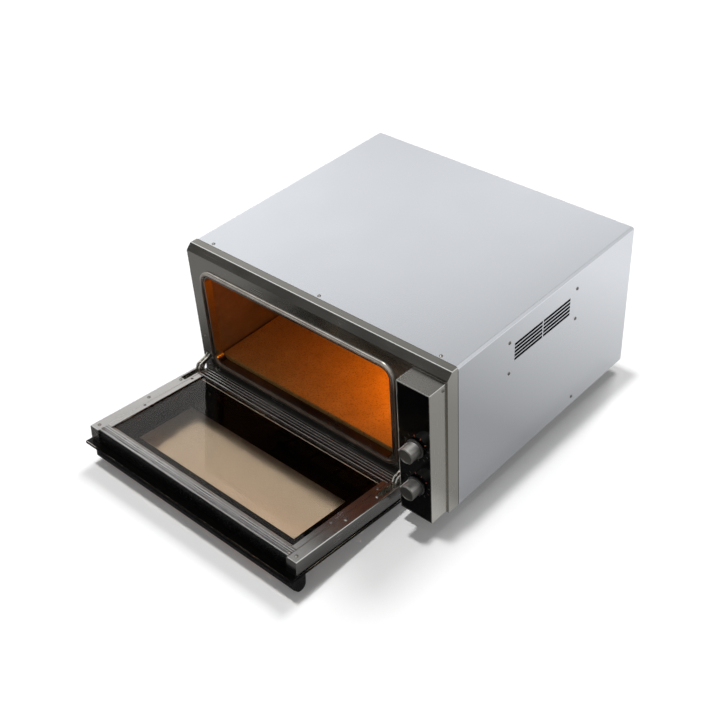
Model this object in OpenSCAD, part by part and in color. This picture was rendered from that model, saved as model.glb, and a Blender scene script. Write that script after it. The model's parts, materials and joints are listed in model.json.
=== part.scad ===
// Electric pizza oven with a drop-down glass door, drawn with the door open on its stop.
// Millimetres. X to the right, Y to the rear, Z up, floor at Z = 0.
// The body width, the body height and the stone depth set the chamber, the mouth and the door.

/* [Body] */
// Width over the outer cover
body_w = 700; // [600:1:820]
// Height of the cover from its bottom edge
body_h = 346; // [310:1:420]
// Height of the feet
foot_h = 28; // [26:0.5:45]
// Distance of the feet from the outer faces of the body
foot_inset = 64; // [45:1:100]
// Sheet thickness of the cover
sheet_t = 1.2; // [0.8:0.1:1.8]
// Sheet thickness of the facia
facia_t = 1.5; // [1:0.1:2]
// Depth of the facia returns along the top and the sides
facia_return = 30; // [24:1:40]
// Size of the bevel along the top of the facia
facia_bevel = 13.5; // [6:0.5:18]
// Open seam between facia and cover
seam = 0.8; // [0.3:0.1:1.5]
// Outer bend radius of the cover
cover_bend = 6; // [3:0.5:10]
// Thickness of the rear panel and the base pan
pan_t = 1.5; // [1:0.1:2]
// Height of the upturned sides of the base pan
pan_lip = 32; // [26:1:40]

/* [Side vent] */
// Start of the vent behind the facia plane
vent_y = 203; // [150:1:260]
// Length of one vent slot
vent_len = 91; // [60:1:110]
// Height of one vent slot
vent_slot = 6.2; // [3:0.2:7]
// Spacing of the vent slots
vent_pitch = 8.8; // [8:0.2:10]
// Distance of the lowest slot under the top of the cover
vent_drop = 92.5; // [85:0.5:120]
// Number of slots in one column
vent_rows = 5; // [2:1:6]

/* [Oven chamber] */
// Thickness of the insulation at the left side
left_wool_t = 32.7; // [28:0.1:40]
// Thickness of the insulation at the right side
right_wool_t = 37; // [30:0.5:44]
// Thickness of the insulation at the rear
rear_wool_t = 40; // [30:1:50]
// Air space between the rear insulation and the rear panel
rear_room = 31.2; // [26:0.1:45]
// Space between the chamber roof and the top of the cover
roof_room = 50; // [44:0.5:60]
// Air space over the roof insulation
roof_air = 14; // [8:0.5:20]
// Height of the chamber floor above the bottom edge of the cover
chamber_z = 36; // [32:0.5:42]
// Sheet thickness of the chamber
liner_t = 0.8; // [0.6:0.1:1.2]
// Lip of the facia over the sides of the chamber
mouth_lip = 7.5; // [5:0.5:12]
// Height of the lower edge of the mouth above the chamber floor
mouth_sill = 21; // [17:0.5:24]
// Distance of the mouth under the chamber roof
mouth_drop = 6; // [4:0.5:12]
// Corner radius of the mouth
mouth_r = 22; // [15:1:26]
// Thickness of the throat frame
throat_t = 1.5; // [1:0.1:2]
// Protrusion of the throat frame in front of the facia
throat_out = 3; // [2:0.5:4]
// Protrusion of the gasket, half of its width
gasket_r = 6; // [5:0.1:7]

/* [Baking stone and heating] */
// Thickness of the stone
stone_t = 15; // [12:0.5:17]
// Height of the top of the stone above the chamber floor
stone_rise = 30; // [28:0.5:34]
// Front edge of the stone behind the facia plane
stone_y = 19; // [16:1:30]
// Depth of the stone
stone_d = 500; // [430:1:600]
// Gap between the stone and the rear wall
stone_back = 22.5; // [5:0.5:40]
// Play between the stone and the chamber walls
stone_play = 5; // [3:0.5:8]
// Radius of the tubular heating elements
element_r = 3.5; // [3:0.1:4]
// Distance of the outer element legs from the chamber walls
element_side = 62; // [45:1:80]

/* [Control box] */
// Width of the control box
box_w = 77.5; // [66:0.5:90]
// Depth of the control box in front of the facia
box_d = 47.5; // [42:0.5:56]
// Gap from the control box to the outer side of the body
box_side = 3.5; // [2:0.5:6]
// Gap between the control box and the outer glass of the closed door
box_gap = 11.5; // [4:0.5:16]
// Height of the lower edge of the box above the bottom edge of the cover
box_z = 6.4; // [3:0.2:10]
// Height of the upper knob above the bottom edge of the cover
knob_z = 185; // [165:1:215]
// Spacing of the knobs
knob_pitch = 95; // [80:1:110]
// Sideways place of the knobs from the middle of the box
knob_off = 4; // [0:0.5:6]
// Radius of the knob cap
knob_r = 17; // [14:0.5:19.5]
// Length of the knob cap
knob_len = 26; // [22:0.5:30]
// Radius of the knob skirt
skirt_r = 20.5; // [17.5:0.5:23.5]
// Thickness of the knob skirt
skirt_t = 5; // [3:0.5:7]
// Radius of the knob shafts
shaft_r = 3; // [2.5:0.1:3.5]
// Radial running clearance of the shafts and the hinge pins
running_fit = 0.05; // [0.03:0.01:0.08]

/* [Door] */
// Lap of the door frame over the sides of the mouth
frame_lap = 41.5; // [39:0.5:46]
// Width of a side rail
rail_w = 25; // [22:0.5:27]
// Height of the rails
rail_h = 34.2; // [30:0.1:38]
// Wall thickness of the rails
rail_t = 1.5; // [1:0.1:1.8]
// Distance of the closed door and the control box under the top of the cover
door_drop = 19.5; // [12:0.5:25]
// Overhang of the outer glass past the ends of the side rails
glass_lead = 14.5; // [8:0.5:18]
// Door end behind the hinge line
door_tail = 14; // [12.5:0.1:15.5]
// Distance of the hinge line in front of the facia
hinge_y = 28.6; // [26:0.1:32]
// Height of the hinge line above the bottom edge of the cover
hinge_z = 15.5; // [14:0.1:18]
// Upward tilt of the open door in degrees
rest_tilt = 5.5; // [5:0.1:8]
// Thickness of the outer glass
outer_glass_t = 6; // [5:0.5:7]
// Overhang of the outer glass past the side rails
glass_over = 3; // [1:0.5:5]
// Thickness of the inner glass
inner_glass_t = 4; // [3:0.5:5]
// Depth of the inner glass under the faces of the rails
inner_glass_drop = 3; // [2.5:0.5:4]
// Width of the ridged front rail
front_rail_w = 21; // [18:0.5:24]
// Radius of the hinge pins
pin_r = 4; // [3.4:0.1:4.6]

/* [Handle] */
// Distance of the handle centre from the free edge of the outer glass
handle_back = 33.5; // [30:0.5:40]
// Distance of the handle centre from the outer glass
handle_reach = 35.5; // [30:0.5:36]
// Radius of the handle bar
handle_r = 12; // [10:0.5:13]
// Forward wing of the handle bar
handle_wing = 18; // [15:0.5:20]
// Thickness of a handle end
handle_end_t = 14; // [10:0.5:20]
// Inset of the handle from the edges of the outer glass
handle_inset = 11; // [6:0.5:20]

/* [Fasteners] */
// Radius of the screw heads
head_r = 3.8; // [3.3:0.1:4.2]
// Height of the screw heads
head_h = 1.9; // [1.4:0.1:2.2]
// Radius of the screw shanks
shank_r = 1.9; // [1.6:0.1:2.1]

/* [Hidden] */
$fn = 64;
eps = 0.01;
cut = 1;
hole_play = 0.1;
seat_play = 0.1;
z_body = foot_h;
z_top = z_body + body_h;
side = body_w / 2;
inner_side = side - max(sheet_t, facia_t);
cover_y = facia_return + seam;
tab_len = 14;
rear_lip = 14;
gland_out = 18;
gland_r = 8;
gland_nut = 4;

// Chamber planes
wool_l = -inner_side + pan_t;
ch_l = wool_l + left_wool_t + liner_t;
ch_r = side - box_side - box_w - box_gap - glass_over - frame_lap + mouth_lip;
chamber_w = ch_r - ch_l;
chamber_x = (ch_l + ch_r) / 2;
ch_floor = z_body + chamber_z;
ch_roof = z_top - roof_room;
chamber_h = ch_roof - ch_floor;
ch_back = stone_y + stone_d + stone_back;
chamber_d = ch_back - facia_t;
wool_y = facia_t + 24;
wool_back = ch_back + liner_t + rear_wool_t;
wool_r = ch_r + liner_t + right_wool_t;
roof_wool_t = roof_room - liner_t - sheet_t - roof_air;
rear_y = wool_back + rear_room;
body_d = rear_y + pan_t;
mouth_w = chamber_w - 2 * mouth_lip;
mouth_z = chamber_z + mouth_sill;
mouth_h = chamber_h - mouth_sill - mouth_drop;
throat_end = stone_y - 3;
stone_top = ch_floor + stone_rise;
support_w = 18;
support_t = 1.5;
low_z = ch_floor + element_r * 2;
high_z = ch_roof - 13;
element_legs = 6;
element_pitch = (chamber_w - 2 * element_side) / (element_legs - 1);
leg_x = [for (k = [0 : element_legs - 1]) (k - (element_legs - 1) / 2) * element_pitch];
end_x = [leg_x[0], leg_x[element_legs - 1]];
element_y = 70;
element_back = ch_back - 60;
end_out = 6;
clip_w = 8;
clip_edge = 12;
lamp_y = facia_t + chamber_d * 0.46;
lamp_z = ch_floor + chamber_h * 0.63;
lamp_r = 25;
lamp_wall = 2;
lens_r = 33;
lamp_base = 14;

// Door sections measured from the hinge line: s outward along the door, n towards its inner side
gasket_clear = 0.4;
door_gap = gasket_r + gasket_clear;
n_in = hinge_y - door_gap;
n_rail = n_in - rail_h;
n_out = n_rail - outer_glass_t;
frame_half = mouth_w / 2 + frame_lap;
glass_top = body_h - door_drop - hinge_z;
rail_top = glass_top - glass_lead;
front_rail_end = rail_top - 4.5;
front_rail_s = front_rail_end - front_rail_w;
rear_rail_end = 15;
ledge = 9;
ledge_t = 3;
n_glass = n_in - inner_glass_drop;
n_ledge = n_glass - inner_glass_t;
frame_l = chamber_x - frame_half;
frame_r = chamber_x + frame_half;
pane_half = frame_half + glass_over;
lip_w = 5;
bar_w = 7;
bar_play = 0.3;
pin_x = frame_half - rail_w / 2;
arm_gap = 5;
arm_plate = 3;
arm_half = arm_gap / 2 + arm_plate;
arm_rise = 41;
arm_z = hinge_z + arm_rise;
arm_eye = 8;
arm_slot = [arm_z - 6, arm_z + 12];
slot_half = arm_half + 1.5;
slot_end = arm_rise + 13;
case_t = 1.5;
case_len = 185;
spring_r = 5.5;
rail_screw_s = [slot_end + 6, 150, rail_top - 14];
strip_screw_s = [41, 174];
corner_screw = 7.5;
handle_s = glass_top - handle_back;
cap_grow = 1.2;
reach = hinge_y + glass_top * cos(rest_tilt) - n_out * sin(rest_tilt);
y_mid = (body_d + gland_out - reach) / 2;

// Control box planes
box_r = side - box_side;
box_l = box_r - box_w;
box_mid = (box_l + box_r) / 2;
box_bottom = z_body + box_z;
box_top = z_top - door_drop;
box_t = 2;
box_flange = 4;
panel_t = 4;
panel_sunk = 1;
panel_back = -box_d + panel_sunk + panel_t;
knob_x = box_mid + knob_off;
knob_gap = 0.6;
skirt_y = -box_d - knob_gap;
cap_y = skirt_y - skirt_t;
cap_edge = 1.5;
cap_rim = 1.6;
cap_dish = 0.8;
bush_r = shaft_r + 2.2;
dial_w = 40;
dial_h = 44;
dial_d = 34;
dial_heights = [z_body + knob_z, z_body + knob_z - knob_pitch];
box_screw = [-9, box_top - 11];
wire_hole = [40, box_bottom + 54, box_top - 86];

// Wiring parts and fastener places
gland_x = side - 52;
gland_z = z_body + 62;
block_x = wool_r + 20;
block_y = rear_y - 120;
block_size = [40, 60, 22];
vent_z = z_top - vent_drop;
vent_gap = 3;
guard_y = [vent_y - 16.5, vent_y + 2 * vent_len + 26];
guard_z = [vent_z - 22, vent_z + vent_rows * vent_pitch + 8];
guard_t = 1;
guard_depth = 21;
guard_edge = 8;
top_screw_x = [-side + 45, 0, side - 45];
top_screw_y = cover_y + tab_len / 2;
low_screw = [vent_y + 214, z_body + 21];
screw_len = 6;
socket_screw_z = [hinge_z + 15.5, hinge_z + 95.5];
socket_edge = 7;
socket_half = 12;
socket_t = 2;
rear_screw_x = side - rear_lip / 2 - sheet_t;
rear_screw_z = [z_body + 60, z_body + body_h / 2, z_top - 40];
foot_x = side - foot_inset;
foot_y = [foot_inset, body_d - foot_inset];
foot_r = 18;
foot_bore = 10;
slit = 5;
slit_pitch = 12;

// Helpers

module in_frame() {
  translate([0, -y_mid, 0]) children();
}

module on_door() {
  in_frame()
    translate([0, -hinge_y, z_body + hinge_z])
      rotate([-rest_tilt, 0, 0]) children();
}

module span(x0, x1, y0, y1, z0, z1) {
  translate([x0, y0, z0]) cube([x1 - x0, y1 - y0, z1 - z0]);
}

module door_span(x0, x1, s0, s1, n0, n1) {
  span(x0, x1, -s1, -s0, n0, n1);
}

// A flat outline in Y and Z drawn out along X
module along_x(x0, x1) {
  translate([x0, 0, 0]) rotate([90, 0, 90]) linear_extrude(x1 - x0) children();
}

module rod_x(x0, x1, y, z, r) {
  translate([x0, y, z]) rotate([0, 90, 0]) cylinder(h = x1 - x0, r = r);
}

module rod_y(x, y0, y1, z, r) {
  translate([x, y0, z]) rotate([-90, 0, 0]) cylinder(h = y1 - y0, r = r);
}

module rod_z(x, y, z0, z1, r) {
  translate([x, y, z0]) cylinder(h = z1 - z0, r = r);
}

// A block along Y with four rounded edges
module round_block(cx, w, z0, h, r, y0, y1) {
  span(cx - w / 2 + r, cx + w / 2 - r, y0, y1, z0, z0 + h);
  span(cx - w / 2, cx + w / 2, y0, y1, z0 + r, z0 + h - r);
  for (x = [cx - w / 2 + r, cx + w / 2 - r])
    for (z = [z0 + r, z0 + h - r])
      rod_y(x, y0, y1, z, r);
}

// A block along Y with the two upper edges rounded
module arch_block(half, z0, z1, r, y0, y1) {
  span(-half, half, y0, y1, z0, z1 - r);
  span(-half + r, half - r, y0, y1, z1 - r - eps, z1);
  for (x = [-half + r, half - r])
    rod_y(x, y0, y1, z1 - r, r);
}

// A pan head screw pointing down, its head standing on Z = 0
module screw(len) {
  difference() {
    union() {
      cylinder(h = head_h, r = head_r);
      translate([0, 0, -len]) cylinder(h = len + eps, r = shank_r);
    }
    translate([-head_r * 0.6, -0.45, head_h * 0.45]) cube([head_r * 1.2, 0.9, head_h]);
    translate([-0.45, -head_r * 0.6, head_h * 0.45]) cube([0.9, head_r * 1.2, head_h]);
  }
}

module both_sides() {
  children();
  mirror([1, 0, 0]) children();
}

// Mirrored about the middle of the door
module door_sides() {
  translate([chamber_x, 0, 0]) both_sides() children();
}

// Body sheets

module outer_cover() {
  color("silver") in_frame() difference() {
    arch_block(side, z_body, z_top, cover_bend, cover_y, rear_y);
    arch_block(side - sheet_t, z_body - cut, z_top - sheet_t, cover_bend - sheet_t,
               cover_y - cut, rear_y - sheet_t);
    span(-side + rear_lip, side - rear_lip, cover_y, rear_y + cut, z_body - cut, z_top - rear_lip);
    for (row = [0 : vent_rows - 1])
      for (col = [0, 1])
        span(side - sheet_t - cut, side + cut,
             vent_y + col * (vent_len + vent_gap), vent_y + col * (vent_len + vent_gap) + vent_len,
             vent_z + row * vent_pitch, vent_z + row * vent_pitch + vent_slot);
    for (x = top_screw_x)
      rod_z(x, top_screw_y, z_top - sheet_t - cut, z_top + cut, shank_r + hole_play);
    for (y = guard_y)
      for (z = guard_z)
        rod_x(side - sheet_t - cut, side + cut, y, z, shank_r + hole_play);
    both_sides()
      rod_x(side - sheet_t - cut, side + cut, low_screw[0], low_screw[1], shank_r + hole_play);
    both_sides()
      for (z = rear_screw_z)
        rod_y(rear_screw_x, rear_y - sheet_t - cut, rear_y + cut, z, shank_r + hole_play);
  }
}

module base_pan() {
  color("silver") in_frame() difference() {
    union() {
      span(-inner_side, inner_side, facia_t, rear_y - sheet_t, z_body, z_body + pan_t);
      both_sides()
        span(inner_side - pan_t, inner_side, cover_y + tab_len, rear_y - sheet_t, z_body, z_body + pan_lip);
    }
    both_sides()
      for (y = foot_y)
        rod_z(foot_x, y, z_body - cut, z_body + pan_t + cut, shank_r + hole_play);
    both_sides()
      rod_x(inner_side - pan_t - cut, inner_side + cut, low_screw[0], low_screw[1],
            shank_r + hole_play);
    for (k = [0 : 5])
      span(block_x, inner_side - 16, vent_y + k * slit_pitch, vent_y + k * slit_pitch + slit,
           z_body - cut, z_body + pan_t + cut);
  }
}

module rear_panel() {
  color("silver") in_frame() difference() {
    arch_block(side - 1, z_body, z_top - 1, cover_bend, rear_y, body_d);
    rod_y(gland_x, rear_y - cut, body_d + cut, gland_z, gland_r + hole_play);
    both_sides()
      for (z = rear_screw_z)
        rod_y(rear_screw_x, rear_y - cut, body_d + cut, z, shank_r + hole_play);
    both_sides()
      for (k = [0 : 6])
        span(block_x - 10, side - 2 * rear_lip, rear_y - cut, body_d + cut,
             vent_z - 40 + k * slit_pitch, vent_z - 40 + k * slit_pitch + slit);
  }
}

module front_facia() {
  tab_top = z_top - sheet_t;
  color("silver") in_frame() difference() {
    union() {
      along_x(-side, side)
        polygon([
          [0, z_body], [facia_t, z_body],
          [facia_t, z_top - facia_bevel - facia_t * 0.4],
          [facia_bevel + facia_t * 0.4, z_top - facia_t],
          [facia_return, z_top - facia_t], [facia_return, z_top],
          [facia_bevel, z_top], [0, z_top - facia_bevel]
        ]);
      both_sides()
        along_x(side - facia_t, side)
          polygon([
            [0, z_body], [facia_return, z_body], [facia_return, z_top],
            [facia_bevel, z_top], [0, z_top - facia_bevel]
          ]);
      span(-inner_side + cover_bend, inner_side - cover_bend,
           facia_return - tab_len / 2, cover_y + tab_len, tab_top - facia_t, tab_top);
    }
    round_block(chamber_x, mouth_w, z_body + mouth_z, mouth_h, mouth_r, -cut, facia_t + cut);
    for (x = top_screw_x)
      rod_z(x, top_screw_y, tab_top - facia_t - cut, z_top + cut, shank_r + hole_play);
    door_sides() {
      span(pin_x - slot_half, pin_x + slot_half, -cut, facia_t + cut,
           z_body + arm_slot[0], z_body + arm_slot[1]);
      for (z = socket_screw_z)
        rod_y(pin_x, -cut, facia_t + cut, z_body + z, shank_r + hole_play);
    }
    span(box_mid - wire_hole[0] / 2, box_mid + wire_hole[0] / 2, -cut, facia_t + cut,
         wire_hole[1], wire_hole[2]);
  }
}

module throat_frame() {
  out_w = mouth_w - 2 * seat_play;
  out_h = mouth_h - 2 * seat_play;
  out_z = z_body + mouth_z + seat_play;
  color("silver") in_frame() difference() {
    round_block(chamber_x, out_w, out_z, out_h, mouth_r - seat_play, -throat_out, throat_end);
    round_block(chamber_x, out_w - 2 * throat_t, out_z + throat_t, out_h - 2 * throat_t,
                mouth_r - seat_play - throat_t, -throat_out - cut, throat_end + cut);
  }
}

// Half round seal on the facia around the mouth
module door_gasket() {
  inset = gasket_r + 1;
  bend = mouth_r + inset;
  x_far = mouth_w / 2 + inset - bend;
  z_far = mouth_h / 2 + inset - bend;
  color("dimgray") in_frame() translate([chamber_x, 0, z_body + mouth_z + mouth_h / 2]) difference() {
    union() {
      for (k = [-1, 1]) {
        rod_x(-x_far, x_far, 0, k * (z_far + bend), gasket_r);
        rod_z(k * (x_far + bend), 0, -z_far, z_far, gasket_r);
      }
      for (k = [0 : 3])
        translate([(k == 0 || k == 3) ? x_far : -x_far, 0, (k < 2) ? z_far : -z_far])
          rotate([90, 0, 0]) rotate([0, 0, 90 * k])
            rotate_extrude(angle = 90) translate([bend, 0]) circle(r = gasket_r);
    }
    span(-side, side, 0, gasket_r + cut, -body_h, body_h);
  }
}

// Oven chamber

module chamber_floor() {
  color("silver") in_frame()
    span(ch_l - liner_t, ch_r + liner_t, facia_t, ch_back, ch_floor - liner_t, ch_floor);
}

module chamber_roof() {
  color("silver") in_frame()
    span(ch_l - liner_t, ch_r + liner_t, facia_t, ch_back, ch_roof, ch_roof + liner_t);
}

module chamber_left_wall() {
  color("silver") in_frame()
    span(ch_l - liner_t, ch_l, facia_t, ch_back, ch_floor, ch_roof);
}

module chamber_right_wall() {
  color("silver") in_frame() difference() {
    span(ch_r, ch_r + liner_t, facia_t, ch_back, ch_floor, ch_roof);
    rod_x(ch_r - cut, ch_r + liner_t + cut, lamp_y, lamp_z, lamp_r - lamp_wall);
  }
}

module element_ends(r) {
  for (z = [low_z, high_z])
    for (x = end_x)
      rod_y(chamber_x + x, ch_back - cut, wool_back + cut, z, r);
}

module chamber_rear_wall() {
  color("silver") in_frame() difference() {
    span(ch_l - liner_t, ch_r + liner_t, ch_back, ch_back + liner_t,
         ch_floor - liner_t, ch_roof + liner_t);
    element_ends(element_r + hole_play);
  }
}

module roof_wool() {
  color("khaki") in_frame()
    span(wool_l, wool_r, wool_y, wool_back, ch_roof + liner_t, ch_roof + liner_t + roof_wool_t);
}

module floor_wool() {
  color("khaki") in_frame()
    span(wool_l, wool_r, wool_y, wool_back, z_body + pan_t, ch_floor - liner_t);
}

module left_wool() {
  color("khaki") in_frame()
    span(wool_l, ch_l - liner_t, wool_y, ch_back + liner_t, ch_floor - liner_t, ch_roof + liner_t);
}

module right_wool() {
  color("khaki") in_frame() difference() {
    span(ch_r + liner_t, wool_r, wool_y, ch_back + liner_t, ch_floor - liner_t, ch_roof + liner_t);
    rod_x(ch_r, wool_r + cut, lamp_y, lamp_z, lens_r + 1);
  }
}

module rear_wool() {
  color("khaki") in_frame() difference() {
    span(wool_l, wool_r, ch_back + liner_t, wool_back, ch_floor - liner_t, ch_roof + liner_t);
    element_ends(element_r + hole_play);
  }
}

module baking_stone() {
  color("wheat") in_frame()
    span(ch_l + stone_play, ch_r - stone_play, stone_y, stone_y + stone_d,
         stone_top - stone_t, stone_top);
}

module stone_supports() {
  under = stone_top - stone_t;
  half = chamber_w / 2;
  color("silver") in_frame() translate([chamber_x, 0, 0]) both_sides() {
    span(half - support_w, half, stone_y, stone_y + stone_d, under - support_t, under);
    span(half - support_t, half, stone_y, stone_y + stone_d, ch_floor, under);
  }
}

// Serpentine of straight legs and half round bends, with both ends through the rear wall
module serpentine(z) {
  bend = element_pitch / 2;
  front = element_y + bend;
  back = element_back - bend;
  translate([chamber_x, 0, z]) {
    for (x = end_x)
      rod_y(x, front, wool_back + end_out, 0, element_r);
    for (k = [1 : element_legs - 2])
      rod_y(leg_x[k], front, back, 0, element_r);
    for (k = [0 : 2 : element_legs - 2])
      translate([leg_x[k] + bend, front, 0]) rotate([0, 0, 180])
        rotate_extrude(angle = 180) translate([bend, 0]) circle(r = element_r);
    for (k = [1 : 2 : element_legs - 3])
      translate([leg_x[k] + bend, back, 0])
        rotate_extrude(angle = 180) translate([bend, 0]) circle(r = element_r);
  }
}

module lower_element() {
  color("dimgray") in_frame() serpentine(low_z);
}

module upper_element() {
  color("dimgray") in_frame() serpentine(high_z);
}

// Cross bars that carry the element legs
module element_clips() {
  half = end_x[1] + clip_edge;
  places = [element_y + element_pitch, element_back - element_pitch];
  color("silver") in_frame() difference() {
    for (y = places) {
      span(chamber_x - half, chamber_x + half, y, y + clip_w, ch_floor, low_z + element_r + 1.2);
      span(chamber_x - half, chamber_x + half, y, y + clip_w, high_z - element_r - 2, ch_roof);
    }
    for (z = [low_z, high_z])
      for (x = leg_x)
        rod_y(chamber_x + x, element_y, ch_back, z, element_r + hole_play);
  }
}

// Lamp at the right wall

module lamp_holder() {
  x0 = ch_r + liner_t;
  color("silver") in_frame() translate([x0, lamp_y, lamp_z]) rotate([0, 90, 0]) difference() {
    union() {
      cylinder(h = lamp_wall, r = lens_r);
      cylinder(h = right_wool_t + lamp_base, r = lamp_r);
    }
    translate([0, 0, -cut]) cylinder(h = right_wool_t + cut, r = lamp_r - lamp_wall);
  }
}

module lamp_bulb() {
  x0 = ch_r + liner_t + right_wool_t;
  color("white") in_frame() translate([x0, lamp_y, lamp_z]) rotate([0, -90, 0]) {
    cylinder(h = 16, r = 8);
    translate([0, 0, 21]) sphere(r = 12);
  }
}

module lamp_lens() {
  color("lightblue") in_frame() translate([ch_r, lamp_y, lamp_z]) rotate([0, -90, 0])
    rotate_extrude()
      polygon([[0, 5], [lens_r - 10, 5], [lens_r - 4, 0], [lens_r, 0], [lens_r, 2],
               [lens_r - 3, 3], [lens_r - 9, 8], [0, 8]]);
}

// Control box

module control_box() {
  color("silver") in_frame() difference() {
    span(box_l, box_r, -box_d, 0, box_bottom, box_top);
    span(box_l + box_t, box_r - box_t, -box_d - cut, panel_back,
         box_bottom + box_t, box_top - box_t);
    span(box_l + box_t + box_flange, box_r - box_t - box_flange, -box_d, cut,
         box_bottom + box_t + box_flange, box_top - box_t - box_flange);
    span(box_l + box_t, box_r - box_t, panel_back + box_t, cut, box_bottom + box_t, box_top - box_t);
    rod_x(box_r - box_t - cut, box_r + cut, box_screw[0], box_screw[1], shank_r + hole_play);
  }
}

module control_panel() {
  color("black") in_frame() difference() {
    span(box_l + box_t, box_r - box_t, panel_back - panel_t, panel_back,
         box_bottom + box_t, box_top - box_t);
    for (z = dial_heights)
      rod_y(knob_x, -box_d, panel_back + cut, z, bush_r + hole_play);
  }
}

module thermostat(z) {
  color("ivory") in_frame() difference() {
    union() {
      span(knob_x - dial_w / 2, knob_x + dial_w / 2, panel_back, panel_back + dial_d,
           z - dial_h / 2, z + dial_h / 2);
      rod_y(knob_x, panel_back - panel_t, panel_back + eps, z, bush_r);
    }
    rod_y(knob_x, -box_d, panel_back + 20, z, shaft_r + running_fit);
  }
}

module upper_thermostat() {
  thermostat(dial_heights[0]);
}

module lower_thermostat() {
  thermostat(dial_heights[1]);
}

module knob_cap(z) {
  color("silver") in_frame() translate([knob_x, cap_y, z]) rotate([90, 0, 0]) difference() {
    union() {
      cylinder(h = knob_len - cap_edge, r = knob_r);
      translate([0, 0, knob_len - cap_edge])
        cylinder(h = cap_edge, r1 = knob_r, r2 = knob_r - cap_edge);
      rotate([0, 0, 158]) translate([knob_r - 4, -1.5, 0]) cube([5.6, 3, knob_len - 0.5]);
    }
    translate([0, 0, -cut]) cylinder(h = knob_len - 8 + cut, r = shaft_r + seat_play / 5);
    translate([0, 0, knob_len - cap_dish]) cylinder(h = cap_dish + cut, r = knob_r - cap_edge - cap_rim);
  }
}

module knob_skirt(z) {
  color("black") in_frame() translate([knob_x, skirt_y, z]) rotate([90, 0, 0]) difference() {
    union() {
      cylinder(h = skirt_t - 1, r = skirt_r);
      translate([0, 0, skirt_t - 1]) cylinder(h = 1, r1 = skirt_r, r2 = skirt_r - 1);
    }
    translate([0, 0, -cut]) cylinder(h = skirt_t + 2 * cut, r = shaft_r + seat_play / 5);
  }
}

module knob_shaft(z) {
  color("gray") in_frame() rod_y(knob_x, cap_y - knob_len + 8, panel_back + 18, z, shaft_r);
}

module upper_knob() {
  knob_cap(dial_heights[0]);
}

module upper_skirt() {
  knob_skirt(dial_heights[0]);
}

module upper_shaft() {
  knob_shaft(dial_heights[0]);
}

module lower_knob() {
  knob_cap(dial_heights[1]);
}

module lower_skirt() {
  knob_skirt(dial_heights[1]);
}

module lower_shaft() {
  knob_shaft(dial_heights[1]);
}

// Wiring parts and vent guard

module terminal_block() {
  z0 = z_body + pan_t;
  pitch = block_size[1] / 3;
  color("ivory") in_frame() difference() {
    span(block_x, block_x + block_size[0], block_y, block_y + block_size[1], z0, z0 + block_size[2]);
    for (k = [0 : 2])
      span(block_x - cut, block_x + block_size[0] + cut,
           block_y + pitch * (k + 0.25), block_y + pitch * (k + 0.75),
           z0 + block_size[2] * 0.6, z0 + block_size[2] + cut);
  }
}

module cable_gland() {
  color("black") in_frame() translate([gland_x, body_d, gland_z]) rotate([-90, 0, 0]) difference() {
    union() {
      translate([0, 0, -pan_t - 10]) cylinder(h = pan_t + 12, r = gland_r);
      translate([0, 0, -pan_t - 5]) cylinder(h = 5, r = gland_r + gland_nut, $fn = 6);
      cylinder(h = 6, r = gland_r + gland_nut, $fn = 6);
      translate([0, 0, 5.9]) cylinder(h = 8.1, r = gland_r + 2);
      translate([0, 0, 14 - eps]) cylinder(h = gland_out - 14 + eps, r1 = gland_r + 2, r2 = gland_r - 1);
    }
    translate([0, 0, -pan_t - 12]) cylinder(h = gland_out + 20, r = gland_r - 3);
  }
}

// Hat section standing off the side sheet behind the slots
module vent_deflector() {
  x1 = side - sheet_t;
  x0 = x1 - guard_depth;
  y0 = guard_y[0] - guard_edge;
  y1 = guard_y[1] + guard_edge;
  z0 = guard_z[0] + guard_edge;
  z1 = guard_z[1] - guard_edge;
  color("silver") in_frame() difference() {
    union() {
      span(x1 - guard_t, x1, y0, y1, z0 - 2 * guard_edge, z0 + guard_t);
      span(x1 - guard_t, x1, y0, y1, z1 - guard_t, z1 + 2 * guard_edge);
      span(x0, x1, y0, y1, z0, z0 + guard_t);
      span(x0, x1, y0, y1, z1 - guard_t, z1);
      span(x0, x0 + guard_t, y0, y1, z0, z1);
    }
    for (y = guard_y)
      for (z = guard_z)
        rod_x(x1 - guard_t - cut, x1 + cut, y, z, shank_r + hole_play);
  }
}

module feet() {
  color("black") in_frame() both_sides()
    for (y = foot_y)
      translate([foot_x, y, 0]) difference() {
        cylinder(h = foot_h, r1 = foot_r - 3, r2 = foot_r);
        translate([0, 0, -cut]) cylinder(h = foot_bore + cut, r = head_r + 2.5);
        translate([0, 0, foot_bore - cut]) cylinder(h = foot_h, r = shank_r + hole_play);
      }
}

// Hinges

// Plate outline from the hinge line up and back through the facia, with a notch for the hook pin
module arm_plate_outline() {
  polygon([
    [-hinge_y - arm_eye, hinge_z], [-hinge_y + arm_eye, hinge_z],
    [-hinge_y + arm_eye, arm_z - 16], [-hinge_y + 14, arm_z - 8], [-6, arm_z - 4], [8, arm_z - 4],
    [8, arm_z], [14, arm_z], [14, arm_z - 4], [18, arm_z - 4], [18, arm_z + 8], [0, arm_z + 8],
    [-8, arm_z + 3], [-hinge_y - 3, arm_z - 3], [-hinge_y - arm_eye, arm_z - 12]
  ]);
}

module hinge_arm() {
  color("silver") in_frame() translate([0, 0, z_body]) difference() {
    union() {
      for (x = [pin_x - arm_half, pin_x + arm_gap / 2]) {
        along_x(x, x + arm_plate) arm_plate_outline();
        rod_x(x, x + arm_plate, -hinge_y, hinge_z, arm_eye);
      }
      span(pin_x - arm_gap / 2 - eps, pin_x + arm_gap / 2 + eps, -14, 5, arm_z - 3, arm_z + 1);
    }
    rod_x(pin_x - arm_half - cut, pin_x + arm_half + cut, -hinge_y, hinge_z, pin_r + running_fit);
  }
}

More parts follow.
